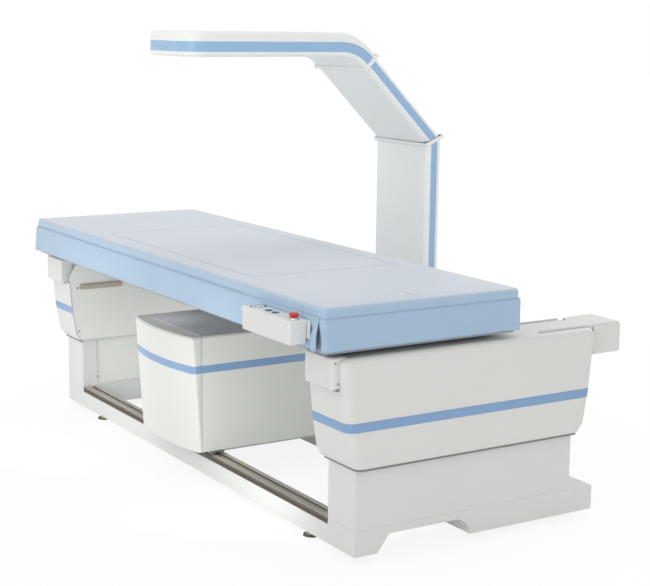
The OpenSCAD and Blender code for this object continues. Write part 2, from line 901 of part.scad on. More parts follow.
// Nuts on the lead screws, whose necks come up through the beams' slots to the runners
module lead_nuts() {
  color("gray") both_ends() difference() {
    union() {
      block([screw_x - 16, table_y - nut_l / 2, screw_z - 16], [screw_x + 16, table_y + nut_l / 2, screw_z + 16]);
      block([screw_x - slot_w / 2 + 2, table_y - nut_l / 2, screw_z],
            [screw_x + slot_w / 2 - 2, table_y + nut_l / 2, beam_top_z + slide_gap]);
    }
    rod_y(screw_x, table_y - nut_l / 2 - eps, table_y + nut_l / 2 + eps, screw_z, screw_r + run_gap);
  }
}

// ---------------------------------------------------------------- control box

// A folded plate from the table frame to the control box, through the skirt's notch
module control_bracket() {
  color("gray") block(
    [control_x - bracket_w / 2, control_back_y, control_z + 4],
    [control_x + bracket_w / 2, table_y - frame_half_y, control_z + 4 + bracket_h]);
}

module control_plan(g, r) {
  translate([control_x, control_y])
    round_rect([g - control_l / 2, g - control_d / 2], [control_l / 2 - g, control_d / 2 - g], r);
}

lid_z = control_top_z - lid_h;
// The lower half of the control box, open on top
module control_box() {
  color("whitesmoke") difference() {
    translate([0, 0, control_z]) linear_extrude(lid_z - control_z) control_plan(0, 8);
    translate([0, 0, control_z + control_wall]) linear_extrude(lid_z) control_plan(control_wall, 5);
  }
}

// Places of the ring key, the two small keys and the stop, along the control box
ring_key_x = control_x - 85;
key_a_x = control_x - 27;
key_b_x = control_x + 8;
stop_x = control_x + 104;
stop_shaft_r = 6;
lid_wall_z = control_top_z - control_wall;

// The lid, with a bore for each key and for the stop's shaft
module control_lid() {
  color("whitesmoke") difference() {
    translate([0, 0, lid_z]) linear_extrude(lid_h) control_plan(0, 8);
    translate([0, 0, lid_z - eps]) linear_extrude(lid_h - control_wall + eps) control_plan(control_wall, 5);
    for (k = [[ring_key_x, ring_key_r], [key_a_x, key_r], [key_b_x, key_r], [stop_x, stop_shaft_r]])
      translate([k[0], control_y, lid_z]) cylinder(h = lid_h + eps, r = k[1] + slide_gap);
  }
}

// A round key, kept in by its flange under the lid
module key_cap(x, r) {
  z0 = lid_wall_z - slide_gap - key_flange;
  translate([x, control_y, 0]) {
    translate([0, 0, z0]) cylinder(h = key_flange, r = r + key_flange);
    translate([0, 0, z0]) cylinder(h = control_top_z + key_travel + 0.5 - z0, r = r);
  }
}

module ring_key() {
  color("navy") key_cap(ring_key_x, ring_key_r);
}

module key_a() {
  color("navy") key_cap(key_a_x, key_r);
}

module key_b() {
  color("navy") key_cap(key_b_x, key_r);
}

// The metal collar round the emergency stop
stop_base_h = 4;
module stop_base() {
  color("silver") translate([stop_x, control_y, control_top_z]) difference() {
    cylinder(h = stop_base_h, r = stop_r + 1.5);
    translate([0, 0, -eps]) cylinder(h = stop_base_h + 2 * eps, r = stop_shaft_r + slide_gap);
  }
}

// The mushroom head and shaft of the emergency stop, with a snap ring under the lid
module stop_button() {
  z1 = control_top_z + stop_base_h + stop_travel + 0.4;
  color("red") translate([stop_x, control_y, 0]) {
    translate([0, 0, z1]) cylinder(h = 8.5, r = stop_r);
    translate([0, 0, lid_z - 4]) cylinder(h = z1 - lid_z + 4, r = stop_shaft_r);
    translate([0, 0, lid_wall_z - slide_gap - key_flange]) cylinder(h = key_flange, r = stop_shaft_r + key_flange);
  }
}

// ---------------------------------------------------------------- gantry carriage

// Ears that hold the wheel axles, on both sides of each wheel
module axle_ears() {
  for (x = wheel_x, y = [front_rail_y, rear_rail_y], way = [-1, 1]) {
    mid = y + way * (wheel_w / 2 + 1 + ear_w / 2);
    block([x - ear_l / 2, mid - ear_w / 2, rail_z + rail_h + slide_gap],
          [x + ear_l / 2, mid + ear_w / 2, source_z]);
  }
}

// The carriage plate under the source housing, running back to the column's foot
module carriage() {
  w = shell;
  color("dimgray") difference() {
    union() {
      block([source_l_x + w, front_rail_y - rail_w / 2, source_z], [source_r_x - w, source_rear_y, plate_top_z]);
      block([arm_x - arm_w / 2 + w, source_rear_y, source_z],
            [arm_x + arm_w / 2 - w, column_y + half_t - w, plate_top_z]);
      axle_ears();
      block([source_x - 20, belt_y - belt_w / 2, clamp_z], [source_x + 20, belt_y + belt_w / 2, source_z]);
    }
    for (x = wheel_x) {
      rod_y(x, front_rail_y - 60, rear_rail_y + 60, wheel_z, axle_r + run_gap);
      for (y = [front_rail_y, rear_rail_y])
        block([x - ear_l / 2 - eps, y - wheel_w / 2 - 1, source_z - eps],
              [x + ear_l / 2 + eps, y + wheel_w / 2 + 1, plate_top_z + eps]);
    }
  }
}

// Two flat wheels, one over each rail, with bores for their axle
module wheelset(x) {
  color("silver") difference() {
    for (y = [front_rail_y, rear_rail_y])
      rod_y(x, y - wheel_w / 2, y + wheel_w / 2, wheel_z, wheel_r);
    rod_y(x, front_rail_y - wheel_w, rear_rail_y + wheel_w, wheel_z, axle_r + run_gap);
  }
}

module left_wheelset() {
  wheelset(wheel_x[0]);
}

module right_wheelset() {
  wheelset(wheel_x[1]);
}

// The axle of two wheels, along Y through the carriage's ears
module axle(x) {
  reach = wheel_w / 2 + 1 + ear_w;
  color("silver") rod_y(x, front_rail_y - reach, rear_rail_y + reach, wheel_z, axle_r);
}

module left_axle() {
  axle(wheel_x[0]);
}

module right_axle() {
  axle(wheel_x[1]);
}

// ---------------------------------------------------------------- source housing

// Plan of the housing's front at one height, set in by g: a shallow arc with round corners
module source_level(z, g) {
  lean = source_lean * (source_top_z - z) / (source_top_z - source_z);
  y0 = source_front_y + lean;
  half = source_w / 2 - g;
  arc_mid_y = y0 - source_bow + bow_r;
  r = bow_r - g;
  corner = 10;
  edge = asin((half - corner) / r);
  outline = concat(
    [[half, source_seam_y + 1], [half, arc_mid_y - r * cos(edge) + corner * 0.8]],
    [[half - corner * 0.3, arc_mid_y - r * cos(edge) + corner * 0.25]],
    [for (i = [8:-1:-8]) [r * sin(edge * i / 8), arc_mid_y - r * cos(edge * i / 8)]],
    [[corner * 0.3 - half, arc_mid_y - r * cos(edge) + corner * 0.25]],
    [[-half, arc_mid_y - r * cos(edge) + corner * 0.8], [-half, source_seam_y + 1]]
  );
  translate([source_x, 0, z]) linear_extrude(0.01) polygon(outline);
}

// The leaning, bowed form of the front cover, set in by g, with a round top edge
module source_form(g) {
  z1 = source_top_z - 0.01;
  r = 8;
  hull() {
    source_level(source_z, g);
    for (a = [0:30:90]) source_level(z1 - r * (1 - cos(a)), g + r * (1 - sin(a)));
  }
}

// The moulded front cover of the source housing, open below, behind and on top
module source_front() {
  color("white") difference() {
    source_form(0);
    source_form(shell);
    block([source_l_x - 50, source_seam_y, source_z - eps], [source_r_x + 50, source_seam_y + 50, source_top_z + eps]);
    translate([0, 0, source_top_z - source_cap_h]) linear_extrude(source_cap_h + eps) source_cap_plan(8);
  }
}

// Plan of the grey top plate, set in by g from the housing's edge
module source_cap_plan(g) {
  half = source_w / 2 - g;
  r = bow_r - g;
  arc_mid_y = source_front_y - source_bow + bow_r;
  edge = asin(half / r);
  translate([source_x, 0]) polygon(concat(
    [[half, source_rear_y - g]],
    [for (i = [8:-1:-8]) [r * sin(edge * i / 8), arc_mid_y - r * cos(edge * i / 8)]],
    [[-half, source_rear_y - g]]
  ));
}

// The grey top plate, let into the housing's rim
module source_top() {
  color("silver") translate([0, 0, source_top_z - source_cap_h])
    linear_extrude(source_cap_h - 1) source_cap_plan(8);
}

// The body shell behind the seam, open below and in front, with a rebate for the top plate
module source_body() {
  w = shell;
  color("white") difference() {
    block([source_l_x, source_seam_y, source_z], [source_r_x, source_rear_y, source_top_z]);
    block([source_l_x + w, source_seam_y - eps, source_z - eps],
          [source_r_x - w, source_rear_y - w, source_top_z - source_cap_h - w]);
    block([source_l_x + w + 12, source_seam_y - eps, source_z - eps],
          [source_r_x - w - 12, source_rear_y - w - 12, source_top_z + eps]);
    block([source_l_x + w, source_rear_y - w - eps, source_z - eps],
          [source_r_x - w, source_rear_y + eps, source_z + plate_h]);
    translate([0, 0, source_top_z - source_cap_h]) linear_extrude(source_cap_h + eps) source_cap_plan(8);
  }
}

// ---------------------------------------------------------------- X-ray source

// Middle of the beam along Y, under the detector
beam_y = -350;
tube_top_z = plate_top_z + 190;

// The lead-lined head that holds the X-ray tube, with the beam's port on top
module tube_head() {
  color("dimgray") difference() {
    union() {
      translate([0, 0, plate_top_z + 20]) rod_y(source_x, beam_y - 45, beam_y + 170, 75, 75);
      block([source_x - 60, beam_y - 40, plate_top_z], [source_x + 60, beam_y + 160, plate_top_z + 60]);
      translate([source_x, beam_y, plate_top_z + 95]) cylinder(h = tube_top_z - plate_top_z - 95, r = 34);
    }
    translate([source_x, beam_y, plate_top_z + 95]) cylinder(h = 200, r = 12);
  }
}

// The collimator block on the head, with its long slot across the beam
module collimator() {
  h = 60;
  color("gray") difference() {
    translate([source_x - 55, beam_y - 45, tube_top_z]) cube([110, 90, h]);
    translate([source_x - 2.5, beam_y - 30, tube_top_z - eps]) cube([5, 60, h + 2 * eps]);
  }
}

// The high-voltage generator behind the head
module hv_generator() {
  color("slategray") block([source_x - generator_w / 2, generator_y, plate_top_z],
    [source_x + generator_w / 2, generator_y + generator_l, plate_top_z + generator_h]);
}

// ---------------------------------------------------------------- column and arm

// Outline in Y and Z of a bent strip along the arm's middle line, a outwards and b inwards of it,
// with t added to its top on the horizontal stretch
function bent(a, b, t, z0, y1) = concat(
  [[column_y + a, z0], [column_y + a, bend_z + a * bend_t]],
  [for (i = [0:8]) let (c = 45 + 45 * i / 8, r = arc_r + a + t * i / 8)
    [arc_y + r * cos(c), arc_z + r * sin(c)]],
  [[y1, arm_stripe_z + a + t], [y1, arm_stripe_z - b]],
  [for (i = [8:-1:0]) let (c = 45 + 45 * i / 8, r = arc_r - b)
    [arc_y + r * cos(c), arc_z + r * sin(c)]],
  [[column_y - b, bend_z - b * bend_t], [column_y - b, z0]]
);

// Plan of the arm, set in by g, with its round nose
module arm_plan(g) {
  r = nose_r - g;
  half = arm_w / 2 - g;
  translate([arm_x, 0]) {
    round_rect([-half, nose_y + g], [half, nose_y + g + 3 * nose_r], r);
    translate([-half, nose_y + g + 1.5 * nose_r]) square([2 * half, far]);
  }
}

// The whole bent arm as one solid, set in by g
module arm_form(g, z0) {
  intersection() {
    along_x(arm_x - arm_w / 2 + g, arm_x + arm_w / 2 - g)
      polygon(bent(half_t - g, half_t - g, top_extra, z0, nose_y - 10));
    translate([0, 0, z0]) linear_extrude(far) arm_plan(g);
  }
}

module arm_shell() {
  difference() {
    arm_form(0, bridge_top_z);
    arm_form(shell, bridge_top_z - eps);
  }
}

// Everything on the upper side of the joint planes at the mitre and at the upper ring
module above_mitre() {
  translate([0, column_y, bend_z]) rotate([22.5, 0, 0]) translate([-far, -far, 0]) cube(2 * far);
}

module above_ring() {
  translate([0, ring_y, ring_z]) rotate([45, 0, 0]) translate([-far, -far, 0]) cube(2 * far);
}

// The upright cover of the column
module column_cover() {
  color("whitesmoke") difference() {
    arm_shell();
    above_mitre();
  }
}

// The cover of the slanted section
module slant_cover() {
  color("whitesmoke") difference() {
    intersection() {
      arm_shell();
      above_mitre();
    }
    above_ring();
  }
}

// The cover of the horizontal arm with its bend and round nose
module arm_cover() {
  color("whitesmoke") intersection() {
    arm_shell();
    above_ring();
  }
}

// The two slabs that the collars are made from, across the joints between the covers
module ring_slabs() {
  w = arm_w + 2 * ring_proud;
  t = arm_t + 2 * ring_proud;
  translate([arm_x, column_y, bend_z]) rotate([22.5, 0, 0])
    cube([w, t / cos(22.5), ring_w], center = true);
  translate([arm_x, ring_y, ring_z]) rotate([45, 0, 0]) cube([w, t, ring_w], center = true);
}

// Collars over the two joints between the covers
module arm_rings() {
  color("whitesmoke") difference() {
    ring_slabs();
    arm_form(0, bridge_top_z);
  }
}

// The steel box section inside the covers, from the carriage up and forward to the detector
module arm_spine() {
  a = half_t - shell;
  w = spine_wall;
  end_y = nose_y + 170;
  color("dimgray") difference() {
    along_x(arm_x - spine_w / 2, arm_x + spine_w / 2) polygon(bent(a, a, 0, plate_top_z, end_y));
    along_x(arm_x - spine_w / 2 + w, arm_x + spine_w / 2 - w)
      polygon(bent(a - w, a - w, 0, plate_top_z - eps, end_y - eps));
  }
}

// The cover over the carriage's rear bridge, between the source housing and the column
module bridge_cover() {
  w = shell;
  x0 = arm_x - arm_w / 2;
  x1 = arm_x + arm_w / 2;
  y1 = column_y + half_t;
  color("white") difference() {
    block([x0, source_rear_y, source_z], [x1, y1, bridge_top_z]);
    block([x0 + w, source_rear_y - eps, source_z - eps], [x1 - w, y1 - w, bridge_top_z - w]);
    block([arm_x - spine_w / 2, column_y - half_t + w, source_z],
          [arm_x + spine_w / 2, column_y + half_t - w, bridge_top_z + eps]);
  }
}

// A band w wide that follows the arm's middle line, on its sides and nose
module arm_band(w) {
  intersection() {
    along_x(arm_x - arm_w, arm_x + arm_w) polygon(bent(w / 2, w / 2, 0, bridge_top_z, nose_y - 10));
    translate([0, 0, bridge_top_z]) linear_extrude(far) arm_plan(-stripe_t);
  }
}

// Blue bands: round the source housing, and up the column and along the arm's sides and nose
module gantry_stripes() {
  half = source_stripe_w / 2;
  low = source_stripe_z - half;
  high = source_stripe_z + half;
  color("steelblue") {
    difference() {
      source_form(-stripe_t);
      source_form(0);
      block([-far, -far, 0], [far, far, low]);
      block([-far, -far, high], [far, far, far]);
      block([-far, source_seam_y, 0], [far, far, far]);
    }
    for (x = [source_l_x - stripe_t, source_r_x])
      block([x, source_seam_y, low], [x + stripe_t, source_rear_y, high]);
    difference() {
      union() {
        difference() {
          arm_band(column_stripe_w);
          above_mitre();
        }
        difference() {
          intersection() {
            arm_band(slant_stripe_w);
            above_mitre();
          }
          above_ring();
        }
        intersection() {
          arm_band(arm_stripe_w);
          above_ring();
        }
      }
      translate([0, 0, bridge_top_z - eps]) linear_extrude(far + 2 * eps) arm_plan(0);
      ring_slabs();
    }
  }
}

// ---------------------------------------------------------------- assembly

front_beam();
rear_beam();
front_rail();
rear_rail();
guide_strips();
levelling_feet();
left_stand();
right_stand();
left_plinth();
right_plinth();
inner_panels();
upper_panels();
left_cover();
right_cover();
cover_stripes();
left_cross_beam();
right_cross_beam();
front_caps();
rear_caps();
cover_screws();
guide_bar();
mains_inlet();
power_supply();
control_board();
gantry_motor();
gantry_belt();
belt_brackets();
drive_pulley();
idler_pulley();
left_lead_screw();
right_lead_screw();
table_motors();
screw_bearings();
table_frame();
table_board();
mattress();
lead_nuts();
control_bracket();
control_box();
control_lid();
ring_key();
key_a();
key_b();
stop_base();
stop_button();
carriage();
left_wheelset();
right_wheelset();
left_axle();
right_axle();
source_body();
source_front();
source_top();
tube_head();
collimator();
hv_generator();
bridge_cover();
arm_spine();
column_cover();
slant_cover();
arm_cover();
arm_rings();
gantry_stripes();
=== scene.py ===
import math

import bmesh
import bpy
from mathutils import Matrix, Vector, noise


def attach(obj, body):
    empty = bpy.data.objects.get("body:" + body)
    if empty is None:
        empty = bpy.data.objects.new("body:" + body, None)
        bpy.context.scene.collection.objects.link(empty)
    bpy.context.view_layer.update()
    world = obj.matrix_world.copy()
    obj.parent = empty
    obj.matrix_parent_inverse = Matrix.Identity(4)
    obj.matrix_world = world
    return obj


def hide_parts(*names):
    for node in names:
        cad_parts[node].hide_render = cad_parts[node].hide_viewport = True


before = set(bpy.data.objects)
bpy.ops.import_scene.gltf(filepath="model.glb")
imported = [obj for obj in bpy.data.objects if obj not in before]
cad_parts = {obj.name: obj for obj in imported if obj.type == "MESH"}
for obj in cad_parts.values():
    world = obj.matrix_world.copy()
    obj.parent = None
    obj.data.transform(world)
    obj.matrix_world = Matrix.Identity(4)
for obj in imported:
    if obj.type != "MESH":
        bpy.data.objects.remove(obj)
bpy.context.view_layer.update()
MM = 0.001

# ---------------------------------------------------------------- camera
# A long lens stands off the near right corner, a little above the arm, and looks slightly down along
# the table. It is rolled by less than a degree.

eye = Vector((4.1407, -2.4573, 1.4269))
turn, tilt, roll = (math.radians(a) for a in (57.91, -10.29, 0.72))
ahead = Vector((-math.sin(turn) * math.cos(tilt), math.cos(turn) * math.cos(tilt), math.sin(tilt)))
level = Vector((math.cos(turn), math.sin(turn), 0))
upward = level.cross(ahead)
camera_x = math.cos(roll) * level + math.sin(roll) * upward
camera_y = math.cos(roll) * upward - math.sin(roll) * level
camera = bpy.data.objects.new("camera", bpy.data.cameras.new("camera"))
camera.data.sensor_width = 36
camera.data.lens = 81.96
camera.data.clip_end = 60
camera.matrix_world = Matrix.Translation(eye) @ Matrix((camera_x, camera_y, -ahead)).transposed().to_4x4()
bpy.context.scene.collection.objects.link(camera)
bpy.context.scene.camera = camera

# ---------------------------------------------------------------- studio
# A pale floor that looks white to the camera and keeps a faint shadow, under soft light from large
# lamps all round, with four weak ones low down for what the floor would bounce inwards.


def srgb(colour):
    """The linear colour of an sRGB hex value."""
    parts = [int(colour[i : i + 2], 16) / 255 for i in (1, 3, 5)]
    return [p / 12.92 if p <= 0.04045 else ((p + 0.055) / 1.055) ** 2.4 for p in parts] + [1.0]


def add_node(tree, kind, inputs=None, **settings):
    """Adds a node, sets its settings, and sets or links each of its named inputs."""
    made = tree.nodes.new(kind)
    for name, value in settings.items():
        setattr(made, name, value)
    for name, value in (inputs or {}).items():
        if isinstance(value, bpy.types.NodeSocket):
            tree.links.new(value, made.inputs[name])
        else:
            made.inputs[name].default_value = value
    return made


def new_material(name):
    """A material with an empty node tree, and that tree's output node."""
    material = bpy.data.materials.new(name)
    material.use_nodes = True
    material.node_tree.nodes.clear()
    return material, material.node_tree, add_node(material.node_tree, "ShaderNodeOutputMaterial")


floor_material, tree, output = new_material("studio_floor")
paper = add_node(tree, "ShaderNodeBsdfDiffuse", {"Color": srgb("#FAFAFA")})
glow = add_node(tree, "ShaderNodeEmission", {"Color": (1, 1, 1, 1), "Strength": 1.02})
rays = add_node(tree, "ShaderNodeLightPath")
mirrored = add_node(tree, "ShaderNodeMath",
                    {0: rays.outputs["Is Camera Ray"], 1: rays.outputs["Is Glossy Ray"]},
                    operation="MAXIMUM")
place = add_node(tree, "ShaderNodeTexCoord")
distance = add_node(tree, "ShaderNodeVectorMath", {0: place.outputs["Object"]}, operation="LENGTH")
fade = add_node(tree, "ShaderNodeMapRange", {"Value": distance.outputs["Value"], "From Min": 1.1,
                                             "From Max": 2.6, "To Min": 0.86, "To Max": 1.0})
share = add_node(tree, "ShaderNodeMath", {0: mirrored.outputs[0], 1: fade.outputs["Result"]},
                 operation="MULTIPLY")
sheet_mix = add_node(tree, "ShaderNodeMixShader",
                     {0: share.outputs[0], 1: paper.outputs[0], 2: glow.outputs[0]})
tree.links.new(sheet_mix.outputs[0], output.inputs["Surface"])

bm = bmesh.new()
bmesh.ops.create_grid(bm, x_segments=1, y_segments=1, size=30)
floor_mesh = bpy.data.meshes.new("floor")
bm.to_mesh(floor_mesh)
bm.free()
floor_mesh.materials.append(floor_material)
floor = bpy.data.objects.new("floor", floor_mesh)
bpy.context.scene.collection.objects.link(floor)

world = bpy.data.worlds.new("studio")
world.use_nodes = True
tree = world.node_tree
tree.nodes.clear()
rays = add_node(tree, "ShaderNodeLightPath")
seen = add_node(tree, "ShaderNodeMath", {0: rays.outputs["Is Camera Ray"], 1: rays.outputs["Is Glossy Ray"]},
                operation="MAXIMUM")
seen = add_node(tree, "ShaderNodeMath", {0: seen.outputs[0], 1: rays.outputs["Is Transmission Ray"]},
                operation="MAXIMUM")
soft = add_node(tree, "ShaderNodeBackground", {"Color": srgb("#FDFDFB"), "Strength": 0.66})
white = add_node(tree, "ShaderNodeBackground", {"Color": (1, 1, 1, 1), "Strength": 1.0})
both = add_node(tree, "ShaderNodeMixShader", {0: seen.outputs[0], 1: soft.outputs[0], 2: white.outputs[0]})
add_node(tree, "ShaderNodeOutputWorld", {"Surface": both.outputs[0]})
bpy.context.scene.world = world
bpy.context.scene.view_settings.view_transform = "Standard"


def lamp(name, place, aim, size, power, colour="#FFFFFF"):
    """A square area lamp that looks at a point."""
    data = bpy.data.lights.new(name, "AREA")
    data.size = size
    data.energy = power
    data.color = srgb(colour)[:3]
    made = bpy.data.objects.new(name, data)
    made.location = place
    made.rotation_euler = (Vector(aim) - Vector(place)).to_track_quat("-Z", "Y").to_euler()
    made.visible_camera = False
    bpy.context.scene.collection.objects.link(made)


lamp("front_lamp", (-1.1, -8.2, 6.2), (0, 0, 0.5), 3.6, 66)
lamp("top_lamp", (-0.9, -0.8, 4.4), (0, 0, 0), 3.0, 14)
lamp("low_lamp", (4.6, -7.4, 2.0), (-0.4, 0, 0.3), 4.0, 122)
lamp("end_lamp", (9.0, 0.6, 4.2), (0, 0, 0.5), 4.0, 58)
lamp("right_bounce", (0.6, -0.66, 0.28), (0.1, -0.15, 0.3), 0.3, 0.95)
lamp("left_bounce", (-0.42, -0.95, 0.28), (-1.1, 0.1, 0.3), 0.5, 1.2)
lamp("inner_bounce", (-0.4, -0.1, 0.14), (-0.86, 0.05, 0.06), 0.2, 0.34)
lamp("gap_bounce", (-0.15, -0.36, 0.565), (-0.15, -0.36, 0.4), 0.16, 0.05)
lamp("rear_lamp", (-1.2, 4.8, 2.8), (0, 0, 0.5), 2.6, 52)

# ---------------------------------------------------------------- white powder-coated steel
# Beams, plinths and stands are folded sheet or tube with a semi-gloss polyester powder coat, which
# gives the eye a soft broad highlight and a very fine orange peel.


def toned(tree, colour, tone):
    """A colour made lighter and darker by a map range's result."""
    return add_node(tree, "ShaderNodeMix", {"Factor": 1.0, "A": srgb(colour), "B": tone.outputs["Result"]},
                    data_type="RGBA", blend_type="MULTIPLY").outputs["Result"]


def surfaced(material, output, inputs):
    """Gives a material one principled surface with these inputs, and hands the material back."""
    shader = add_node(material.node_tree, "ShaderNodeBsdfPrincipled", inputs)
    material.node_tree.links.new(shader.outputs["BSDF"], output.inputs["Surface"])
    return material


def coated(name, colour, peel_mm, roughness, bump_mm, gloss=0.5):
    """A painted or moulded surface: a fine peel or grain, and a roughness that varies a little."""
    material, tree, output = new_material(name)
    place = add_node(tree, "ShaderNodeTexCoord")
    peel = add_node(tree, "ShaderNodeTexNoise",
                    {"Vector": place.outputs["Object"], "Scale": 1 / (peel_mm * MM), "Detail": 2.0})
    cloud = add_node(tree, "ShaderNodeTexNoise",
                     {"Vector": place.outputs["Object"], "Scale": 1 / (220 * MM), "Detail": 3.0})
    tone = add_node(tree, "ShaderNodeMapRange",
                    {"Value": cloud.outputs["Fac"], "To Min": 0.975, "To Max": 1.015})
    shade = toned(tree, colour, tone)
    rough = add_node(tree, "ShaderNodeMapRange", {
        "Value": cloud.outputs["Fac"], "To Min": roughness - 0.05, "To Max": roughness + 0.05})
    bump = add_node(tree, "ShaderNodeBump", {"Height": peel.outputs["Fac"], "Distance": bump_mm * MM,
                                             "Strength": 0.35})
    return surfaced(material, output, {
        "Base Color": shade, "Roughness": rough.outputs["Result"],
        "Specular IOR Level": gloss, "Normal": bump.outputs["Normal"]})


powder_white = coated("powder_coat_white", "#DFE0DE", 2.5, 0.42, 0.05)


def shaded_piece(name, bm, material, body, stands_for=(), sharp=35):
    """Makes a bmesh into a piece: smooth but for edges sharper than an angle, on its body."""
    mesh = bpy.data.meshes.new(name)
    bm.to_mesh(mesh)
    bm.free()
    mesh.materials.append(material)
    mesh.shade_smooth()
    mesh.set_sharp_from_angle(angle=math.radians(sharp))
    made = bpy.data.objects.new(name, mesh)
    bpy.context.scene.collection.objects.link(made)
    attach(made, body)
    if stands_for:
        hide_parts(*stands_for)
    return made


def evenly_shaded(piece):
    """Weights the normals by face area, so that flat faces stay flat beside their round edges."""
    even = piece.modifiers.new("shading", "WEIGHTED_NORMAL")
    even.mode = "FACE_AREA"
    even.keep_sharp = True


def flat_copy(node):
    """A bmesh of a node in metres, its triangles joined back into flat faces."""
    bm = bmesh.new()
    bm.from_mesh(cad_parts[node].data)
    bmesh.ops.remove_doubles(bm, verts=bm.verts, dist=0.01 * MM)
    bmesh.ops.dissolve_limit(bm, angle_limit=math.radians(1), verts=bm.verts, edges=bm.edges)
    return bm


def soft_edged(node, width_mm, material, body, steps=3):
    """A copy of a hard-edged node with its edges rounded as a folded or machined part's are."""
    made = shaded_piece(node + "_finished", flat_copy(node), material, body, [node])
    rounding = made.modifiers.new("edges", "BEVEL")
    rounding.width = width_mm * MM
    rounding.segments = steps
    rounding.limit_method = "ANGLE"
    rounding.angle_limit = math.radians(40)
    rounding.use_clamp_overlap = True
    evenly_shaded(made)
    return made


for node in ("front_beam", "rear_beam"):
    soft_edged(node, 2.5, powder_white, "base")

# ---------------------------------------------------------------- stainless rails
# Two folded stainless channels lie on the beams as tracks for the gantry's wheels. Brushing along
# their length leaves fine streaks and a slightly stretched highlight.


def brushed(name, colour, axis, streak_mm, roughness, edge=None):
    """Bare metal brushed along one axis, drawn wide enough to show; if asked, faces towards ±Y are painted a
    darker colour as shade.
    """
    material, tree, output = new_material(name)
    place = add_node(tree, "ShaderNodeTexCoord")
    squeeze = [1 / (streak_mm * MM)] * 3
    squeeze[axis] = 1 / (140 * MM)
    stretched = add_node(tree, "ShaderNodeMapping", {"Vector": place.outputs["Object"], "Scale": squeeze})
    streaks = add_node(tree, "ShaderNodeTexNoise",
                       {"Vector": stretched.outputs["Vector"], "Scale": 1.0, "Detail": 3.0})
    tone = add_node(tree, "ShaderNodeMapRange", {"Value": streaks.outputs["Fac"], "From Min": 0.3,
                                                 "From Max": 0.7, "To Min": 0.86, "To Max": 1.08})
    shade = toned(tree, colour, tone)
    rough = add_node(tree, "ShaderNodeMapRange", {"Value": streaks.outputs["Fac"], "From Min": 0.3,
                                                  "From Max": 0.7, "To Min": roughness - 0.07,
                                                  "To Max": roughness + 0.07})
    # Faces towards front and back get the darker colour: painted shade for upright faces in shadow.
    if edge:
        painted_light_normal = add_node(tree, "ShaderNodeSeparateXYZ", {"Vector": place.outputs["Normal"]})
        side = add_node(tree, "ShaderNodeMath", {0: painted_light_normal.outputs["Y"]}, operation="ABSOLUTE")
        painted_shade_face = add_node(tree, "ShaderNodeMath", {0: side.outputs[0], 1: 0.7}, operation="GREATER_THAN")
        shade = add_node(tree, "ShaderNodeMix", {"Factor": painted_shade_face.outputs[0], "A": shade, "B": srgb(edge)},
                         data_type="RGBA").outputs["Result"]
    bump = add_node(tree, "ShaderNodeBump", {"Height": streaks.outputs["Fac"], "Distance": 0.02 * MM,
                                             "Strength": 0.3})
    return surfaced(material, output, {
        "Base Color": shade, "Roughness": rough.outputs["Result"], "Metallic": 1.0,
        "Normal": bump.outputs["Normal"]})


# 5E584E is painted shade on the rails' faces towards front and back.
stainless = brushed("brushed_stainless", "#D8D2C8", 0, 1.6, 0.42, "#5E584E")
for node in ("front_rail", "rear_rail", "guide_strips"):
    soft_edged(node, 0.8, stainless, "base", 2)

# ---------------------------------------------------------------- levelling feet
# Turned brass feet on threaded studs, screwed up into the beams and plinths. Bare brass has a warm
# satin turned face.

turned_brass = brushed("turned_brass", "#D2C29B", 2, 1.2, 0.4)
soft_edged("levelling_feet", 0.8, turned_brass, "base", 2)
foot_rubber = coated("moulded_rubber_dark", "#55554C", 1.0, 0.6, 0.05)
bm = bmesh.new()
for x in (-725, 725):
    for y in (-350.5, 123.5):
        ring = bmesh.ops.create_cone(bm, cap_ends=True, segments=40, radius1=25, radius2=22,
                                     depth=5)["verts"]
        bmesh.ops.translate(bm, vec=(x, y, 2.5), verts=ring)
bmesh.ops.scale(bm, vec=(MM, MM, MM), verts=bm.verts)
shaded_piece("foot_pads", bm, foot_rubber, "base", [], 40)

# ---------------------------------------------------------------- end stands and plinths
# Welded sheet-steel frames: each stand has two legs and a wide panel between them, and stands on a
# long plinth with a cut-out for the toes.

for side in ("left", "right"):
    soft_edged(side + "_plinth", 2.5, powder_white, "base")
    soft_edged(side + "_stand", 2.0, powder_white, "base")
# The panels under the table get a lighter copy of the white powder coat: painted light, making up for the
# table's shade.
panel_white_painted_lighter = coated("powder_coat_panel_painted_lighter", "#EBECE8", 2.5, 0.46, 0.05)
soft_edged("inner_panels", 1.5, panel_white_painted_lighter, "base", 2)
soft_edged("upper_panels", 0.6, panel_white_painted_lighter, "base", 2)

# ---------------------------------------------------------------- end covers
# A cover of moulded ABS goes round the top of each stand. It leans in towards its foot, all its
# corners are round, and it is open towards the table's middle and where the cross beam passes.

moulded_white = coated("moulded_abs_white", "#E0E0DE", 1.4, 0.36, 0.03)
cover_out, cover_inner, stand_out, stand_inner = 1018, 840, 990, 854
cover_ends = (-440, 435)
cover_low, cover_knee, cover_mid, cover_top = 269, 297, 388, 574
cover_notch, flange_w = 490, 3.7
ends = (("left", True), ("right", False))
lean_at = ((cover_low, 46), (cover_knee, 32), (cover_mid, 17), (cover_top, 0))
stripe_low, stripe_high = 375, 401


def lean(z):
    """How far the cover's front and back lean in at a height, in millimetres."""
    for (z0, a), (z1, b) in zip(lean_at, lean_at[1:]):
        if z <= z1:
            return a + (b - a) * max(z - z0, 0) / (z1 - z0)
    return 0


def boxed(low, high):
    """A bmesh of one box between two corners, in millimetres."""
    bm = bmesh.new()
    bmesh.ops.create_cube(bm, size=1)
    middle = (Vector(low) + Vector(high)) / 2
    bmesh.ops.scale(bm, vec=Vector(high) - Vector(low), verts=bm.verts)
    bmesh.ops.translate(bm, vec=middle, verts=bm.verts)
    return bm


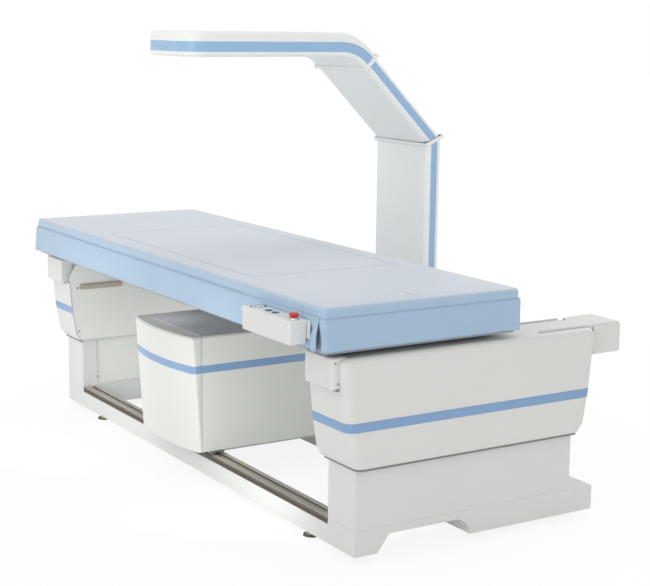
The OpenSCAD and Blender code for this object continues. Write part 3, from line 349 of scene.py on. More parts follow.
def bisect(bm, point, normal, **clear):
    """Cuts the whole bmesh along a plane, and can clear one side of it."""
    bmesh.ops.bisect_plane(bm, geom=bm.verts[:] + bm.edges[:] + bm.faces[:], dist=1e-4,
                           plane_co=point, plane_no=normal, **clear)


def bevelled(bm, edges, width, steps, profile=0.5):
    """Rounds some edges of a bmesh."""
    bmesh.ops.bevel(bm, geom=edges, offset=width, segments=steps, profile=profile, affect="EDGES",
                    material=-1, clamp_overlap=True)


def upright(edge):
    """Whether an edge of a bmesh in millimetres has any height."""
    return abs(edge.verts[0].co.z - edge.verts[1].co.z) > 1


def cover_skin():
    """The outer face of the right cover, in millimetres, with a narrow flange at its open end."""
    bm = boxed((cover_inner - 60, cover_ends[0], cover_low), (cover_out, cover_ends[1], cover_top))
    bevelled(bm, [e for e in bm.edges if all(v.co.x > cover_out - 1 for v in e.verts) and upright(e)], 28, 9)
    for z in (cover_knee, cover_mid):
        bisect(bm, (0, 0, z), (0, 0, 1))
    for v in bm.verts:
        v.co.y += lean(v.co.z) * (1 if v.co.y < 0 else -1)
    for level, width, steps in ((cover_low, 12, 5), (cover_top, 24, 8)):
        rims = [e for e in bm.edges if any(v.co.x > cover_inner - 59 for v in e.verts)
                and all(abs(v.co.z - level) < 0.5 for v in e.verts)]
        bevelled(bm, rims, width, steps)
    bisect(bm, (cover_inner, 0, 0), (1, 0, 0), clear_inner=True)
    open_end = [e for e in bm.edges if e.is_boundary]
    flange = bmesh.ops.contextual_create(bm, geom=open_end)["faces"]
    bmesh.ops.inset_individual(bm, faces=flange, thickness=flange_w)
    bmesh.ops.delete(bm, geom=flange, context="FACES_ONLY")
    bmesh.ops.recalc_face_normals(bm, faces=bm.faces)
    bisect(bm, (stand_out, 0, 0), (1, 0, 0))
    for z in (cover_notch, stripe_low, stripe_high):
        bisect(bm, (0, 0, z), (0, 0, 1))
    return bm


def drop_faces(bm, unwanted):
    """Deletes the faces whose middle a test picks."""
    bm.normal_update()
    bmesh.ops.delete(bm, geom=[f for f in bm.faces if unwanted(f.calc_center_median(), f.normal)],
                     context="FACES")


def to_metres(bm, mirrored):
    """Scales a bmesh to metres, and mirrors it to the left end if asked."""
    bmesh.ops.scale(bm, vec=(-MM if mirrored else MM, MM, MM), verts=bm.verts)
    if mirrored:
        bmesh.ops.reverse_faces(bm, faces=bm.faces)


def walled(piece, thickness_mm, offset):
    """Gives a skin its wall: inwards for an offset of -1, outwards for 1."""
    wall = piece.modifiers.new("wall", "SOLIDIFY")
    wall.thickness = thickness_mm * MM
    wall.offset = offset
    wall.use_even_offset = True
    evenly_shaded(piece)


for side, mirror in ends:
    bm = cover_skin()
    drop_faces(bm, lambda c, n: c.x < stand_out and (c.z > cover_notch or n.z < -0.99))
    to_metres(bm, mirror)
    piece = shaded_piece(side + "_cover_shell", bm, moulded_white, "base",
                         [side + "_cover"], 50)
    walled(piece, 4, -1)

# ---------------------------------------------------------------- painted shadow lines under the covers
# A dark grey strip on each cover's lower edge is painted shadow: it stands for the thin shadow line
# in the gap between the cover and the stand.

# Dark grey for strips that are painted shadow lines, not a real part.
painted_shadow_grey = coated("painted_shadow_line_grey", "#80817C", 1.2, 0.6, 0.04)
for side, mirror in ends:
    bm = boxed((cover_inner + 4, cover_ends[0] + 54, cover_low - 4.5),
               (cover_out - 8, cover_ends[1] - 54, cover_low + 0.5))
    bevelled(bm, [e for e in bm.edges if all(v.co.x > cover_out - 9 for v in e.verts)
                  and upright(e)], 20, 6)
    drop_faces(bm, lambda c, n: abs(n.z) > 0.9 or c.x < cover_inner + 5)
    to_metres(bm, mirror)
    piece = shaded_piece(side + "_cover_shadow_line", bm, painted_shadow_grey, "base", [], 50)
    walled(piece, 3, -1)

# ---------------------------------------------------------------- stripes on the end covers
# A band of blue vinyl film is laid round each cover below its middle; it is thin, smooth and a
# little glossier than the moulding.

blue_film = coated("vinyl_film_blue", "#84A5CE", 0.8, 0.3, 0.008)
for side, mirror in ends:
    bm = cover_skin()
    drop_faces(bm, lambda c, n: not stripe_low < c.z < stripe_high or n.x < -0.9)
    to_metres(bm, mirror)
    piece = shaded_piece("cover_stripe_" + side, bm, blue_film, "base", ["cover_stripes"], 50)
    walled(piece, 0.6, 1)

# ---------------------------------------------------------------- cross beams and their caps
# Aluminium tubes with a slot along the top carry the table's runners; moulded caps close their
# front and rear ends.

for side in ("left", "right"):
    soft_edged(side + "_cross_beam", 1.5, powder_white, "base", 2)
cap_low, cap_high = 490, 576
front_cap, rear_cap = (-458.5, -413.5), (439.5, 551.5)


def beam_cap(y0, y1, open_at):
    """A moulded cap's outer skin over a beam's end, well rounded and open towards the beam."""
    bm = boxed((stand_inner, y0, cap_low), (stand_out, y1, cap_high))
    for side_x, width in ((stand_out, 14), (stand_inner, 6)):
        bevelled(bm, [e for e in bm.edges if all(abs(v.co.x - side_x) < 0.5 and abs(v.co.y - open_at) > 0.5
                                                 for v in e.verts)
                      and upright(e)], width, 6)
    for level, width in ((cap_low, 14), (cap_high, 9)):
        bevelled(bm, [e for e in bm.edges if all(abs(v.co.z - level) < 0.5 for v in e.verts)
                      and not all(abs(v.co.y - open_at) < 0.5 for v in e.verts)], width, 6)
    drop_faces(bm, lambda c, n: abs(c.y - open_at) < 0.5)
    return bm


for side, mirror in ends:
    for place, (y0, y1), open_at in (("front", front_cap, front_cap[1]), ("rear", rear_cap, rear_cap[0])):
        bm = beam_cap(y0, y1, open_at)
        to_metres(bm, mirror)
        piece = shaded_piece(side + "_" + place + "_cap", bm, moulded_white, "base",
                             [place + "_caps"], 40)
        walled(piece, 4, -1)

# The rear cap's flat tongue reaches forward on top of the beam, narrower towards its front.
for side, mirror in ends:
    bm = bmesh.new()
    outline = [(stand_inner + 12, rear_cap[1] - 9), (stand_out - 5, rear_cap[1] - 9), (stand_out - 5, 235.5),
               (stand_inner + 54, 401.5), (stand_inner + 12, rear_cap[0])]
    face = bm.faces.new([bm.verts.new((x, y, 572)) for x, y in outline])
    grown = bmesh.ops.extrude_face_region(bm, geom=[face])["geom"]
    bmesh.ops.translate(bm, vec=(0, 0, 9), verts=[g for g in grown if isinstance(g, bmesh.types.BMVert)])
    bmesh.ops.recalc_face_normals(bm, faces=bm.faces)
    bevelled(bm, [e for e in bm.edges if all(v.co.z > 580 for v in e.verts)], 3, 4)
    to_metres(bm, mirror)
    shaded_piece(side + "_rear_tongue", bm, moulded_white, "base", ["rear_caps"], 40)

# A grey strip under each front cap is painted shadow: the shadow line where the cap sits on the cover's
# cut-out.
for side, mirror in ends:
    bm = boxed((stand_inner + 3, -444, cap_low - 2.5), (stand_out + 2, -436, cap_low + 2))
    to_metres(bm, mirror)
    shaded_piece(side + "_cap_shadow_line", bm, painted_shadow_grey, "base", [], 40)

# ---------------------------------------------------------------- screws and the bar
# Zinc-plated pan-head screws hold the inner panels, and two small ones hold each front cap from
# its outer side. A steel bar lies along the left upper panel.

zinc = brushed("zinc_plate", "#A9ABAD", 2, 1.5, 0.38)
soft_edged("cover_screws", 0.7, zinc, "base", 2)
for side, mirror in ends:
    bm = bmesh.new()
    for y, z in ((-446.5, 562), (-438.5, 506)):
        head = bmesh.ops.create_cone(bm, cap_ends=True, segments=20, radius1=3.6, radius2=2.6,
                                     depth=2)["verts"]
        bmesh.ops.rotate(bm, cent=(0, 0, 0), matrix=Matrix.Rotation(math.pi / 2, 3, "Y"), verts=head)
        bmesh.ops.translate(bm, vec=(stand_out + 1, y, z), verts=head)
    to_metres(bm, mirror)
    shaded_piece(side + "_cap_screws", bm, zinc, "base", [], 40)
dark_bar = coated("phosphated_steel", "#B5AEA0", 1.5, 0.4, 0.02)
soft_edged("guide_bar", 3.0, dark_bar, "base", 2)

# ---------------------------------------------------------------- electrics and drives
# The inlet, the power supply, the control board's case, the motors, belt, pulleys and lead screws
# sit inside or behind the frame; they are bought-in parts in plain industrial finishes.

black_nylon = coated("moulded_nylon_black", "#232426", 1.0, 0.5, 0.03)
soft_edged("mains_inlet", 0.6, black_nylon, "base", 2)
galvanised = coated("galvanised_sheet", "#A6A9AB", 6.0, 0.42, 0.02, 0.8)
soft_edged("power_supply", 1.5, galvanised, "base", 2)
case_green = coated("painted_case_grey_green", "#8E9C92", 2.0, 0.5, 0.04)
soft_edged("control_board", 1.5, case_green, "base", 2)
motor_black = coated("motor_enamel_black", "#2E3033", 1.2, 0.4, 0.03)
soft_edged("gantry_motor", 2.5, motor_black, "base")
soft_edged("table_motors", 2.0, motor_black, "base")
soft_edged("belt_brackets", 0.8, zinc, "base", 2)
soft_edged("screw_bearings", 1.5, galvanised, "base", 2)
belt_black = coated("moulded_rubber_black", "#1E1F20", 1.2, 0.62, 0.05)
shaft_steel = brushed("turned_steel", "#A8AAAC", 1, 1.0, 0.3)
soft_edged("drive_pulley", 0.8, shaft_steel, "drive_pulley_body", 2)
soft_edged("idler_pulley", 0.8, shaft_steel, "idler_pulley_body", 2)


def refinish(node, material):
    """Gives a CAD node that keeps its own shape its finish."""
    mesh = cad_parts[node].data
    mesh.materials.clear()
    mesh.materials.append(material)


refinish("gantry_belt", belt_black)
thread_pitch = 5


def threaded_steel():
    """Ground steel with a rolled thread along Y, drawn as rings at its true pitch, each groove painted darker
    as shade.
    """
    material, tree, output = new_material("rolled_thread_steel")
    place = add_node(tree, "ShaderNodeTexCoord")
    rings = add_node(tree, "ShaderNodeTexWave", {"Vector": place.outputs["Object"],
                                                 "Scale": 2 * math.pi / (20 * thread_pitch * MM)},
                     bands_direction="Y")
    bump = add_node(tree, "ShaderNodeBump", {"Height": rings.outputs["Fac"], "Distance": 1.0 * MM,
                                             "Strength": 0.8})
    # Darker towards each ring's groove: painted shade following the thread's bump.
    tone = add_node(tree, "ShaderNodeMapRange",
                    {"Value": rings.outputs["Fac"], "To Min": 0.6, "To Max": 1.0})
    shade = toned(tree, "#9B9DA0", tone)
    return surfaced(material, output, {"Base Color": shade, "Roughness": 0.32, "Metallic": 1.0,
                                       "Normal": bump.outputs["Normal"]})


thread_steel = threaded_steel()
for side in ("left", "right"):
    refinish(side + "_lead_screw", thread_steel)

# ---------------------------------------------------------------- table frame and board
# Powder-coated channel rails carry a flat laminate board that X-rays pass through; two runners lie
# on the cross beams.

frame_grey = coated("powder_coat_blue_grey", "#9FA9B2", 2.2, 0.45, 0.05)
soft_edged("table_frame", 1.2, frame_grey, "table", 2)
laminate = coated("compact_laminate_grey", "#7C8288", 1.0, 0.38, 0.02)
soft_edged("table_board", 1.5, laminate, "table", 2)
soft_edged("lead_nuts", 1.0, galvanised, "table", 2)

# ---------------------------------------------------------------- mattress
# A firm, flat foam mat in pale blue coated vinyl lies on the board. A fine printed outline on top
# shows the scanned field, and a short line marks where the head lies.

mat_x, mat_y, mat_low, mat_top = 999, (-487.5, 154.5), 668, 713
table_mid_y = -166.5


def line_mask(tree, place, axis, at, across, low, high, wide):
    """1 along one thin printed line: across an axis at a place, between two ends of the other."""
    def inside(value, middle, half):
        away = add_node(tree, "ShaderNodeMath", {0: value, 1: middle * MM}, operation="SUBTRACT")
        size = add_node(tree, "ShaderNodeMath", {0: away.outputs[0]}, operation="ABSOLUTE")
        return add_node(tree, "ShaderNodeMath", {0: size.outputs[0], 1: half * MM}, operation="LESS_THAN")
    one = inside(place.outputs[axis], at, wide / 2)
    two = inside(place.outputs[across], (low + high) / 2, (high - low) / 2)
    return add_node(tree, "ShaderNodeMath", {0: one.outputs[0], 1: two.outputs[0]}, operation="MULTIPLY")


def coated_vinyl(name, colour, painted_top_sheen=None):
    """Pale blue vinyl: a fine leather grain, soft low puckers and a satin sheen at a low angle. With
    a painted top sheen, upward faces get that paler grey, a painted reflection, and the printed lines."""
    material, tree, output = new_material(name)
    place = add_node(tree, "ShaderNodeTexCoord")
    grain = add_node(tree, "ShaderNodeTexVoronoi",
                     {"Vector": place.outputs["Object"], "Scale": 1 / (2.2 * MM)})
    pucker = add_node(tree, "ShaderNodeTexNoise",
                      {"Vector": place.outputs["Object"], "Scale": 1 / (130 * MM), "Detail": 2.0})
    fine = add_node(tree, "ShaderNodeBump", {"Height": grain.outputs["Distance"], "Distance": 0.06 * MM,
                                             "Strength": 0.3})
    bump = add_node(tree, "ShaderNodeBump", {"Height": pucker.outputs["Fac"], "Distance": 3.0 * MM,
                                             "Strength": 0.35, "Normal": fine.outputs["Normal"]})
    tone = add_node(tree, "ShaderNodeMapRange", {"Value": pucker.outputs["Fac"], "From Min": 0.3,
                                                 "From Max": 0.7, "To Min": 0.97, "To Max": 1.02})
    shade = toned(tree, colour, tone)
    if painted_top_sheen:
        # Upward faces are mixed towards the paler grey: painted reflection of the bright studio, not the
        # vinyl's own colour.
        painted_light_normal = add_node(tree, "ShaderNodeSeparateXYZ", {"Vector": place.outputs["Normal"]})
        upward = add_node(tree, "ShaderNodeMapRange", {"Value": painted_light_normal.outputs["Z"], "From Min": 0.2,
                                                       "From Max": 1.0})
        shade = add_node(tree, "ShaderNodeMix", {"Factor": upward.outputs["Result"], "A": shade,
                                                 "B": srgb(painted_top_sheen)}, data_type="RGBA").outputs["Result"]
        where = add_node(tree, "ShaderNodeSeparateXYZ", {"Vector": place.outputs["Object"]})
        lines = [("X", x, "Y", table_mid_y - 246, table_mid_y + 246, 4.6) for x in (-508, 493)]
        lines += [("Y", table_mid_y + y, "X", -508, 493, 6.5) for y in (-246, 246)]
        lines += [("Y", table_mid_y - 5, "X", 896, 978, 5.5)]
        for axis, at, across, low, high, wide in lines:
            mask = line_mask(tree, where, axis, at, across, low, high, wide)
            share = add_node(tree, "ShaderNodeMath", {0: mask.outputs[0], 1: 0.8}, operation="MULTIPLY")
            line = {"Factor": share.outputs[0], "A": shade, "B": srgb("#767D8A")}
            shade = add_node(tree, "ShaderNodeMix", line, data_type="RGBA").outputs["Result"]
    rough = add_node(tree, "ShaderNodeMapRange",
                     {"Value": pucker.outputs["Fac"], "To Min": 0.36, "To Max": 0.46})
    return surfaced(material, output, {
        "Base Color": shade, "Roughness": rough.outputs["Result"], "Specular IOR Level": 0.6,
        "Sheen Weight": 0.6, "Sheen Roughness": 0.45, "Sheen Tint": srgb("#F4F2F0"),
        "Normal": bump.outputs["Normal"]})


# The mat's top faces take a paler grey by their normal: a painted reflection standing in for the vinyl's
# gloss at a low angle.
vinyl_with_painted_sheen = coated_vinyl("coated_vinyl_pale_blue_painted_sheen", "#A6C1DB", "#BDC9DA")
vinyl_side = coated_vinyl("coated_vinyl_skirt", "#A3BFDA")

bm = boxed((-mat_x, mat_y[0], mat_low), (mat_x, mat_y[1], mat_top))
bevelled(bm, [e for e in bm.edges if upright(e)], 12, 6)
bevelled(bm, [e for e in bm.edges if all(v.co.z > mat_top - 1 for v in e.verts)], 21, 8)
for i in range(-9, 10):
    bisect(bm, (i * 100, 0, 0), (1, 0, 0))
for i in range(-3, 4):
    bisect(bm, (0, table_mid_y + i * 85, 0), (0, 1, 0))
bisect(bm, (0, 0, 690), (0, 0, 1))
for v in bm.verts:
    swell = noise.noise(Vector((v.co.x / 260, v.co.y / 190, 3.1)))
    if v.co.z > mat_top - 0.5:
        edge = min(mat_x - abs(v.co.x), 321 - abs(v.co.y - table_mid_y)) / 60
        v.co.z += 0.7 * swell - 0.8 * (1 - min(max(edge, 0), 1))
    elif v.co.z > 689:
        pull = 0.8 * swell - 0.6
        v.co.x += pull if v.co.x > 0 else -pull
        v.co.y += pull if v.co.y > table_mid_y else -pull
to_metres(bm, False)
mat = shaded_piece("mattress_pad", bm, vinyl_with_painted_sheen, "table", ["mattress"], 60)

# ---------------------------------------------------------------- skirt flaps
# Four flaps of the same vinyl are sewn to the mat's lower edge and hang over the table's frame.
# They are open at the corners, and the front flap's right end has taken a wave.

skirt_top, skirt_low = 684, 596


def hung_flap(name, bm):
    """Makes a flap's bmesh into a sheet of vinyl of this length, hung from the mat."""
    bmesh.ops.recalc_face_normals(bm, faces=bm.faces)
    to_metres(bm, False)
    made = shaded_piece(name, bm, vinyl_side, "table", [], 70)
    cloth = made.modifiers.new("cloth", "SOLIDIFY")
    cloth.thickness = 2.0 * MM
    cloth.offset = 0


def skirt_flap(name, start, along, out, length, shape, skewed=(0.0, 0.0), slot=None):
    """A hanging flap: a grid laid along the mat's side, pushed out by shape(run, drop) in mm. A slot
    is cut in it between two runs, for a bracket."""
    bm = bmesh.new()
    bmesh.ops.create_grid(bm, x_segments=max(int(length / 8), 6), y_segments=12, size=0.5)
    along, out, start = Vector(along), Vector(out), Vector(start)
    for v in bm.verts:
        run, drop = (v.co.x + 0.5) * length, 0.5 - v.co.y
        skew = -skewed[0] * drop * (1 - run / length) + skewed[1] * drop * run / length
        push = shape(run, drop)
        low = 1.6 * noise.noise(Vector((run / 300, 0.3, length / 500)))
        v.co = start + along * (run + skew) + out * push
        v.co.z = skirt_top - drop * (skirt_top - skirt_low + low)
    if slot:
        drop_faces(bm, lambda c, n: slot[0] < c.x < slot[1] and slot[2] < c.z < slot[3])
    hung_flap(name, bm)


def settle(run, drop):
    """How far an even flap stands off the mat's side at a place, in millimetres."""
    sewn = 1.0 + 1.6 * min(drop / 0.14, 1) ** 0.5
    return sewn + 0.6 * noise.noise(Vector((run / 120, drop * 1.3, 7.7)))


def ease(value, low, high):
    """0 below low, 1 above high, and a smooth step between."""
    t = min(max((value - low) / (high - low), 0), 1)
    return t * t * (3 - 2 * t)


front_length = 1974


def wavy(run, drop):
    """The front flap: behind the control box it is flat, then it dips in and its end curls out."""
    end = run - front_length
    hollow = -8.5 * math.exp(-((end + 38) / 11) ** 2) * ease(drop, 0.2, 0.45)
    lip = (13 * ease(end, -32, -14) - 7.0 * ease(end, -12, 0)) * ease(drop, 0.03, 0.6)
    start = 5.0 * drop * ease(-run, -60, 0)
    return settle(run, drop) + hollow + lip + start


def flared(run, drop):
    """An end flap, which stands out a little at its front bottom corner."""
    return settle(run, drop) + 6.0 * drop * ease(-run, -90, 0)


skirt_flap("skirt_front", (-998, mat_y[0], 0), (1, 0, 0), (0, -1, 0), front_length, wavy, (6, -5),
           (755, 845, 610, 642))
skirt_flap("skirt_rear", (-996, mat_y[1], 0), (1, 0, 0), (0, 1, 0), 1992, settle)
skirt_flap("skirt_left", (-mat_x, mat_y[0] + 2, 0), (0, 1, 0), (-1, 0, 0), 638, flared)

# The near flap turns the front corner and ends in a folded edge beside the front flap's wave.
bm = bmesh.new()
folded, corner = 12.0, 9.0
quarter = corner * math.pi / 2
right_length = folded + quarter + 630
bmesh.ops.create_grid(bm, x_segments=150, y_segments=14, size=0.5)
for v in bm.verts:
    run, drop = (v.co.x + 0.5) * right_length, 0.5 - v.co.y
    off = settle(run, drop) + 3.0 * drop * ease(run, right_length - 60, right_length)
    if run < folded:
        back = 6.0 * ease(drop, 0.15, 0.75) * (1 - run / folded)
        plan = Vector((mat_x - corner - folded + run + 3 * drop * (1 - run / folded), mat_y[0] - off + back))
    elif run < folded + quarter:
        a = (run - folded) / corner
        dart = 3.2 * ease(drop, 0.1, 0.6) * math.exp(-((a - 0.5) / 0.3) ** 2)
        r = corner + off - dart
        plan = Vector((mat_x - corner + r * math.sin(a), mat_y[0] + corner - r * math.cos(a)))
    else:
        plan = Vector((mat_x + off, mat_y[0] + corner + run - folded - quarter))
    v.co = Vector((plan.x, plan.y, skirt_top - drop * (skirt_top - skirt_low)))
hung_flap("skirt_right", bm)

# ---------------------------------------------------------------- control box
# A two-part moulded box on a folded steel bracket in front of the skirt. Its lid carries a ring
# key, two small keys and a red emergency stop on a bright collar.

ring_x, stop_x, keys_y, lid_top = 715, 904, -522, 673
box_white = coated("moulded_abs_warm_white", "#E4E5E3", 1.4, 0.38, 0.03)
bracket_steel = coated("powder_coat_light_grey", "#B9BCBE", 2.0, 0.45, 0.04)
soft_edged("control_bracket", 0.8, bracket_steel, "table", 2)
control_x, control_y = (672, 928), (-551.5, -492.5)
bm = boxed((control_x[0] + 1, control_y[0] + 1, 608), (control_x[1] - 1, control_y[1] - 1, 660))
bevelled(bm, [e for e in bm.edges if upright(e)], 9, 6)
bevelled(bm, [e for e in bm.edges if all(v.co.z < 609 for v in e.verts)], 5, 5)
drop_faces(bm, lambda c, n: n.z > 0.9)
to_metres(bm, False)
piece = shaded_piece("control_box_shell", bm, box_white, "table", ["control_box"], 40)
walled(piece, 3, -1)
bm = flat_copy("control_lid")
rim = [e for e in bm.edges if all(v.co.z > 0.6729 for v in e.verts) and e.calc_face_angle(0) > 1
       and not all(0.675 < v.co.x < 0.925 and -0.5485 < v.co.y < -0.4955 for v in e.verts)]
bevelled(bm, rim, 4 * MM, 5)
shaded_piece("control_lid_finished", bm, box_white, "table", ["control_lid"], 35)

# A white moulded tab on the bracket fills the corner between the box's end and the skirt.
bm = boxed((880, -494.5, 622), (938, -491.8, 671))
bevelled(bm, [e for e in bm.edges if e.calc_face_angle(0) > 1], 0.8, 3)
to_metres(bm, False)
shaded_piece("control_box_tab", bm, box_white, "table", [], 40)


def ring_key_film():
    """The key's printed film: a dark blue ring round a pale middle with four small marks."""
    material, tree, output = new_material("printed_key_film")
    place = add_node(tree, "ShaderNodeTexCoord")
    centred = add_node(tree, "ShaderNodeMapping", {"Vector": place.outputs["Object"],
                                                   "Location": (-ring_x * MM, -keys_y * MM, 0)})
    where = add_node(tree, "ShaderNodeSeparateXYZ", {"Vector": centred.outputs["Vector"]})
    flat = add_node(tree, "ShaderNodeCombineXYZ", {"X": where.outputs["X"], "Y": where.outputs["Y"]})
    reach = add_node(tree, "ShaderNodeVectorMath", {0: flat.outputs["Vector"]}, operation="LENGTH")
    ring = add_node(tree, "ShaderNodeMath", {0: reach.outputs["Value"], 1: 20.5 * MM, 2: 2.8 * MM},
                    operation="COMPARE")
    dots = add_node(tree, "ShaderNodeMath", {0: reach.outputs["Value"], 1: 10 * MM, 2: 4.0 * MM},
                    operation="COMPARE")
    across = add_node(tree, "ShaderNodeMath", {0: where.outputs["X"], 1: where.outputs["Y"]},
                      operation="MULTIPLY")
    size = add_node(tree, "ShaderNodeMath", {0: across.outputs[0]}, operation="ABSOLUTE")
    near = add_node(tree, "ShaderNodeMath", {0: size.outputs[0], 1: 2.4e-5}, operation="LESS_THAN")
    marks = add_node(tree, "ShaderNodeMath", {0: dots.outputs[0], 1: near.outputs[0]}, operation="MULTIPLY")
    mask = add_node(tree, "ShaderNodeMath", {0: ring.outputs[0], 1: marks.outputs[0]}, operation="MAXIMUM")
    shade = add_node(tree, "ShaderNodeMix", {"Factor": mask.outputs[0], "A": srgb("#F0F2F6"),
                                             "B": srgb("#1E3878")}, data_type="RGBA")
    grain = add_node(tree, "ShaderNodeTexNoise", {"Vector": place.outputs["Object"], "Scale": 900.0})
    bump = add_node(tree, "ShaderNodeBump", {"Height": grain.outputs["Fac"], "Distance": 0.02 * MM,
                                             "Strength": 0.3})
    return surfaced(material, output, {"Base Color": shade.outputs["Result"], "Roughness": 0.35,
                                       "Normal": bump.outputs["Normal"]})


key_blue = coated("printed_film_dark_blue", "#1F3A7C", 0.6, 0.35, 0.01)
soft_edged("ring_key", 0.5, ring_key_film(), "ring_key_body", 2)
soft_edged("key_a", 0.5, key_blue, "key_a_body", 2)
soft_edged("key_b", 0.5, key_blue, "key_b_body", 2)


def turned(outline, centre, steps=40):
    """A solid of revolution about Z from its outline of (radius, height), in millimetres."""
    bm = bmesh.new()
    verts = [bm.verts.new((r, 0, z)) for r, z in outline]
    edges = [bm.edges.new(pair) for pair in zip(verts, verts[1:])]
    bmesh.ops.spin(bm, geom=verts + edges, cent=(0, 0, 0), axis=(0, 0, 1), angle=2 * math.pi, steps=steps,
                   use_merge=True)
    bmesh.ops.remove_doubles(bm, verts=bm.verts, dist=1e-4)
    bmesh.ops.recalc_face_normals(bm, faces=bm.faces)
    bmesh.ops.translate(bm, vec=centre, verts=bm.verts)
    to_metres(bm, False)
    return bm


bright = brushed("chromed_collar", "#C9CBCE", 2, 1.0, 0.2)
collar = [(10.8, 0), (14, 0), (14, 2.8), (13.4, 3.7), (12.6, 4), (11.4, 4), (10.8, 3.6), (10.8, 0)]
shaded_piece("stop_collar", turned(collar, (stop_x, keys_y, lid_top)), bright, "table",
             ["stop_base"], 40)
stop_red = coated("moulded_red", "#C8331F", 0.8, 0.34, 0.02)
mushroom = [(0, 4.4), (10.4, 4.4), (10.6, 7.8), (12.0, 8.4), (12.5, 9.4), (12.5, 14.0), (12.0, 15.6),
            (10.4, 16.6), (6, 16.9), (0, 16.9)]
shaded_piece("stop_mushroom", turned(mushroom, (stop_x, keys_y, lid_top)), stop_red, "stop",
             ["stop_button"], 50)

# ---------------------------------------------------------------- carriage and wheels
# A steel plate under the source housing, with ears for two axles, runs on flat wheels along the
# rails and reaches back to the column's foot.

plate_grey = coated("painted_steel_grey", "#75787B", 2.0, 0.5, 0.05)
soft_edged("carriage", 1.0, plate_grey, "gantry", 2)
for side in ("left", "right"):
    soft_edged(side + "_wheelset", 0.6, shaft_steel, side + "_wheels", 2)
    soft_edged(side + "_axle", 0.5, shaft_steel, side + "_wheels", 2)

# ---------------------------------------------------------------- source housing
# A moulded cover with a bowed, backward-leaning front meets the body shell at an upright seam. A
# grey plate, clear to X-rays, is let into the top.

housing_x, housing_z = (-256, 154), (103, 474)
seam_y, housing_rear = -403.5, 170
bow, front_edge_y, front_lean = 27, -440.5, 26
housing_w, housing_h = housing_x[1] - housing_x[0], housing_z[1] - housing_z[0]
bow_radius = ((housing_w / 2) ** 2 + bow ** 2) / (2 * bow)
band_low, band_high = 357, 381


def front_skin(gap=0.0):
    """The outer face of the housing's bowed front cover."""
    bm = boxed((housing_x[0], front_edge_y, housing_z[0]), (housing_x[1], seam_y - gap, housing_z[1]))
    for i in range(1, 20):
        x = housing_x[0] + housing_w * i / 20
        bisect(bm, (x, 0, 0), (1, 0, 0))
    mid = sum(housing_x) / 2
    for v in bm.verts:
        if v.co.y < front_edge_y + 1:
            back = bow_radius - math.sqrt(bow_radius ** 2 - (v.co.x - mid) ** 2)
            v.co.y = front_edge_y - bow + back + front_lean * (housing_z[1] - v.co.z) / housing_h
    corners = [e for e in bm.edges if all(v.co.y < seam_y - 5 for v in e.verts)
               and all(abs(abs(v.co.x - mid) - housing_w / 2) < 0.1 for v in e.verts)
               and upright(e)]
    bevelled(bm, corners, 13, 6)
    rim = [e for e in bm.edges if all(v.co.z > housing_z[1] - 0.1 for v in e.verts) and len(e.link_faces) == 2
           and e.calc_face_angle(0) > 0.5 and not all(v.co.y > seam_y - gap - 0.1 for v in e.verts)]
    bevelled(bm, rim, 11, 6)
    return bm


def body_skin(gap=0.0):
    """The outer face of the housing's body behind the seam."""
    bm = boxed((housing_x[0], seam_y + gap, housing_z[0]), (housing_x[1], housing_rear, housing_z[1]))
    bevelled(bm, [e for e in bm.edges if all(v.co.y > housing_rear - 1 for v in e.verts)
                  and upright(e)], 10, 5)
    rim = [e for e in bm.edges if all(v.co.z > housing_z[1] - 0.1 for v in e.verts)
           and not all(v.co.y < seam_y + gap + 0.1 for v in e.verts)]
    bevelled(bm, rim, 11, 6)
    return bm


housing_white = coated("moulded_abs_housing", "#E1E2DE", 1.4, 0.38, 0.03)
for name, bm, node in (("source_front_shell", front_skin(0.8), "source_front"),
                       ("source_body_shell", body_skin(0.8), "source_body")):
    drop_faces(bm, lambda c, n: n.z < -0.99 or (n.z > 0.99 and c.z > housing_z[1] - 0.1)
               or (abs(n.y) > 0.99 and abs(c.y - seam_y) < 1))
    to_metres(bm, False)
    piece = shaded_piece(name, bm, housing_white, "gantry", [node], 40)
    walled(piece, 3, -1)
for name, bm in (("source_stripe_front", front_skin(0.5)), ("source_stripe_side", body_skin(0.5))):
    for z in (band_low, band_high):
        bisect(bm, (0, 0, z), (0, 0, 1))
    drop_faces(bm, lambda c, n: not band_low < c.z < band_high or (abs(n.y) > 0.99 and abs(c.y - seam_y) < 1)
               or n.y > 0.3)
    to_metres(bm, False)
    piece = shaded_piece(name, bm, blue_film, "gantry", ["gantry_stripes"], 40)
    walled(piece, 0.6, 1)

# The grey plate's colour is painted lighter: painted light, making up for the table's shadow over it.
plate_painted_lighter = coated("laminate_plate_painted_lighter", "#E0E1E5", 1.0, 0.3, 0.01)
for name, finish, front in (("source_top_front", housing_white, True),
                            ("source_top_plate", plate_painted_lighter, False)):
    bm = flat_copy("source_top")
    bisect(bm, (0, seam_y * MM, 0), (0, 1, 0), clear_outer=front, clear_inner=not front)
    shaded_piece(name, bm, finish, "gantry", ["source_top"], 40)

bead = boxed((housing_x[0] + 12, seam_y - 2.5, 472.4), (housing_x[1] - 12, seam_y + 2.5, 474.2))
bevelled(bead, [e for e in bead.edges if all(v.co.z > 474 for v in e.verts)], 1.2, 3)
to_metres(bead, False)
shaded_piece("source_top_bead", bead, housing_white, "gantry", [], 40)

# ---------------------------------------------------------------- inside the housing
# The lead-lined tube head with its collimator, and the high-voltage generator, stand on the
# carriage plate.

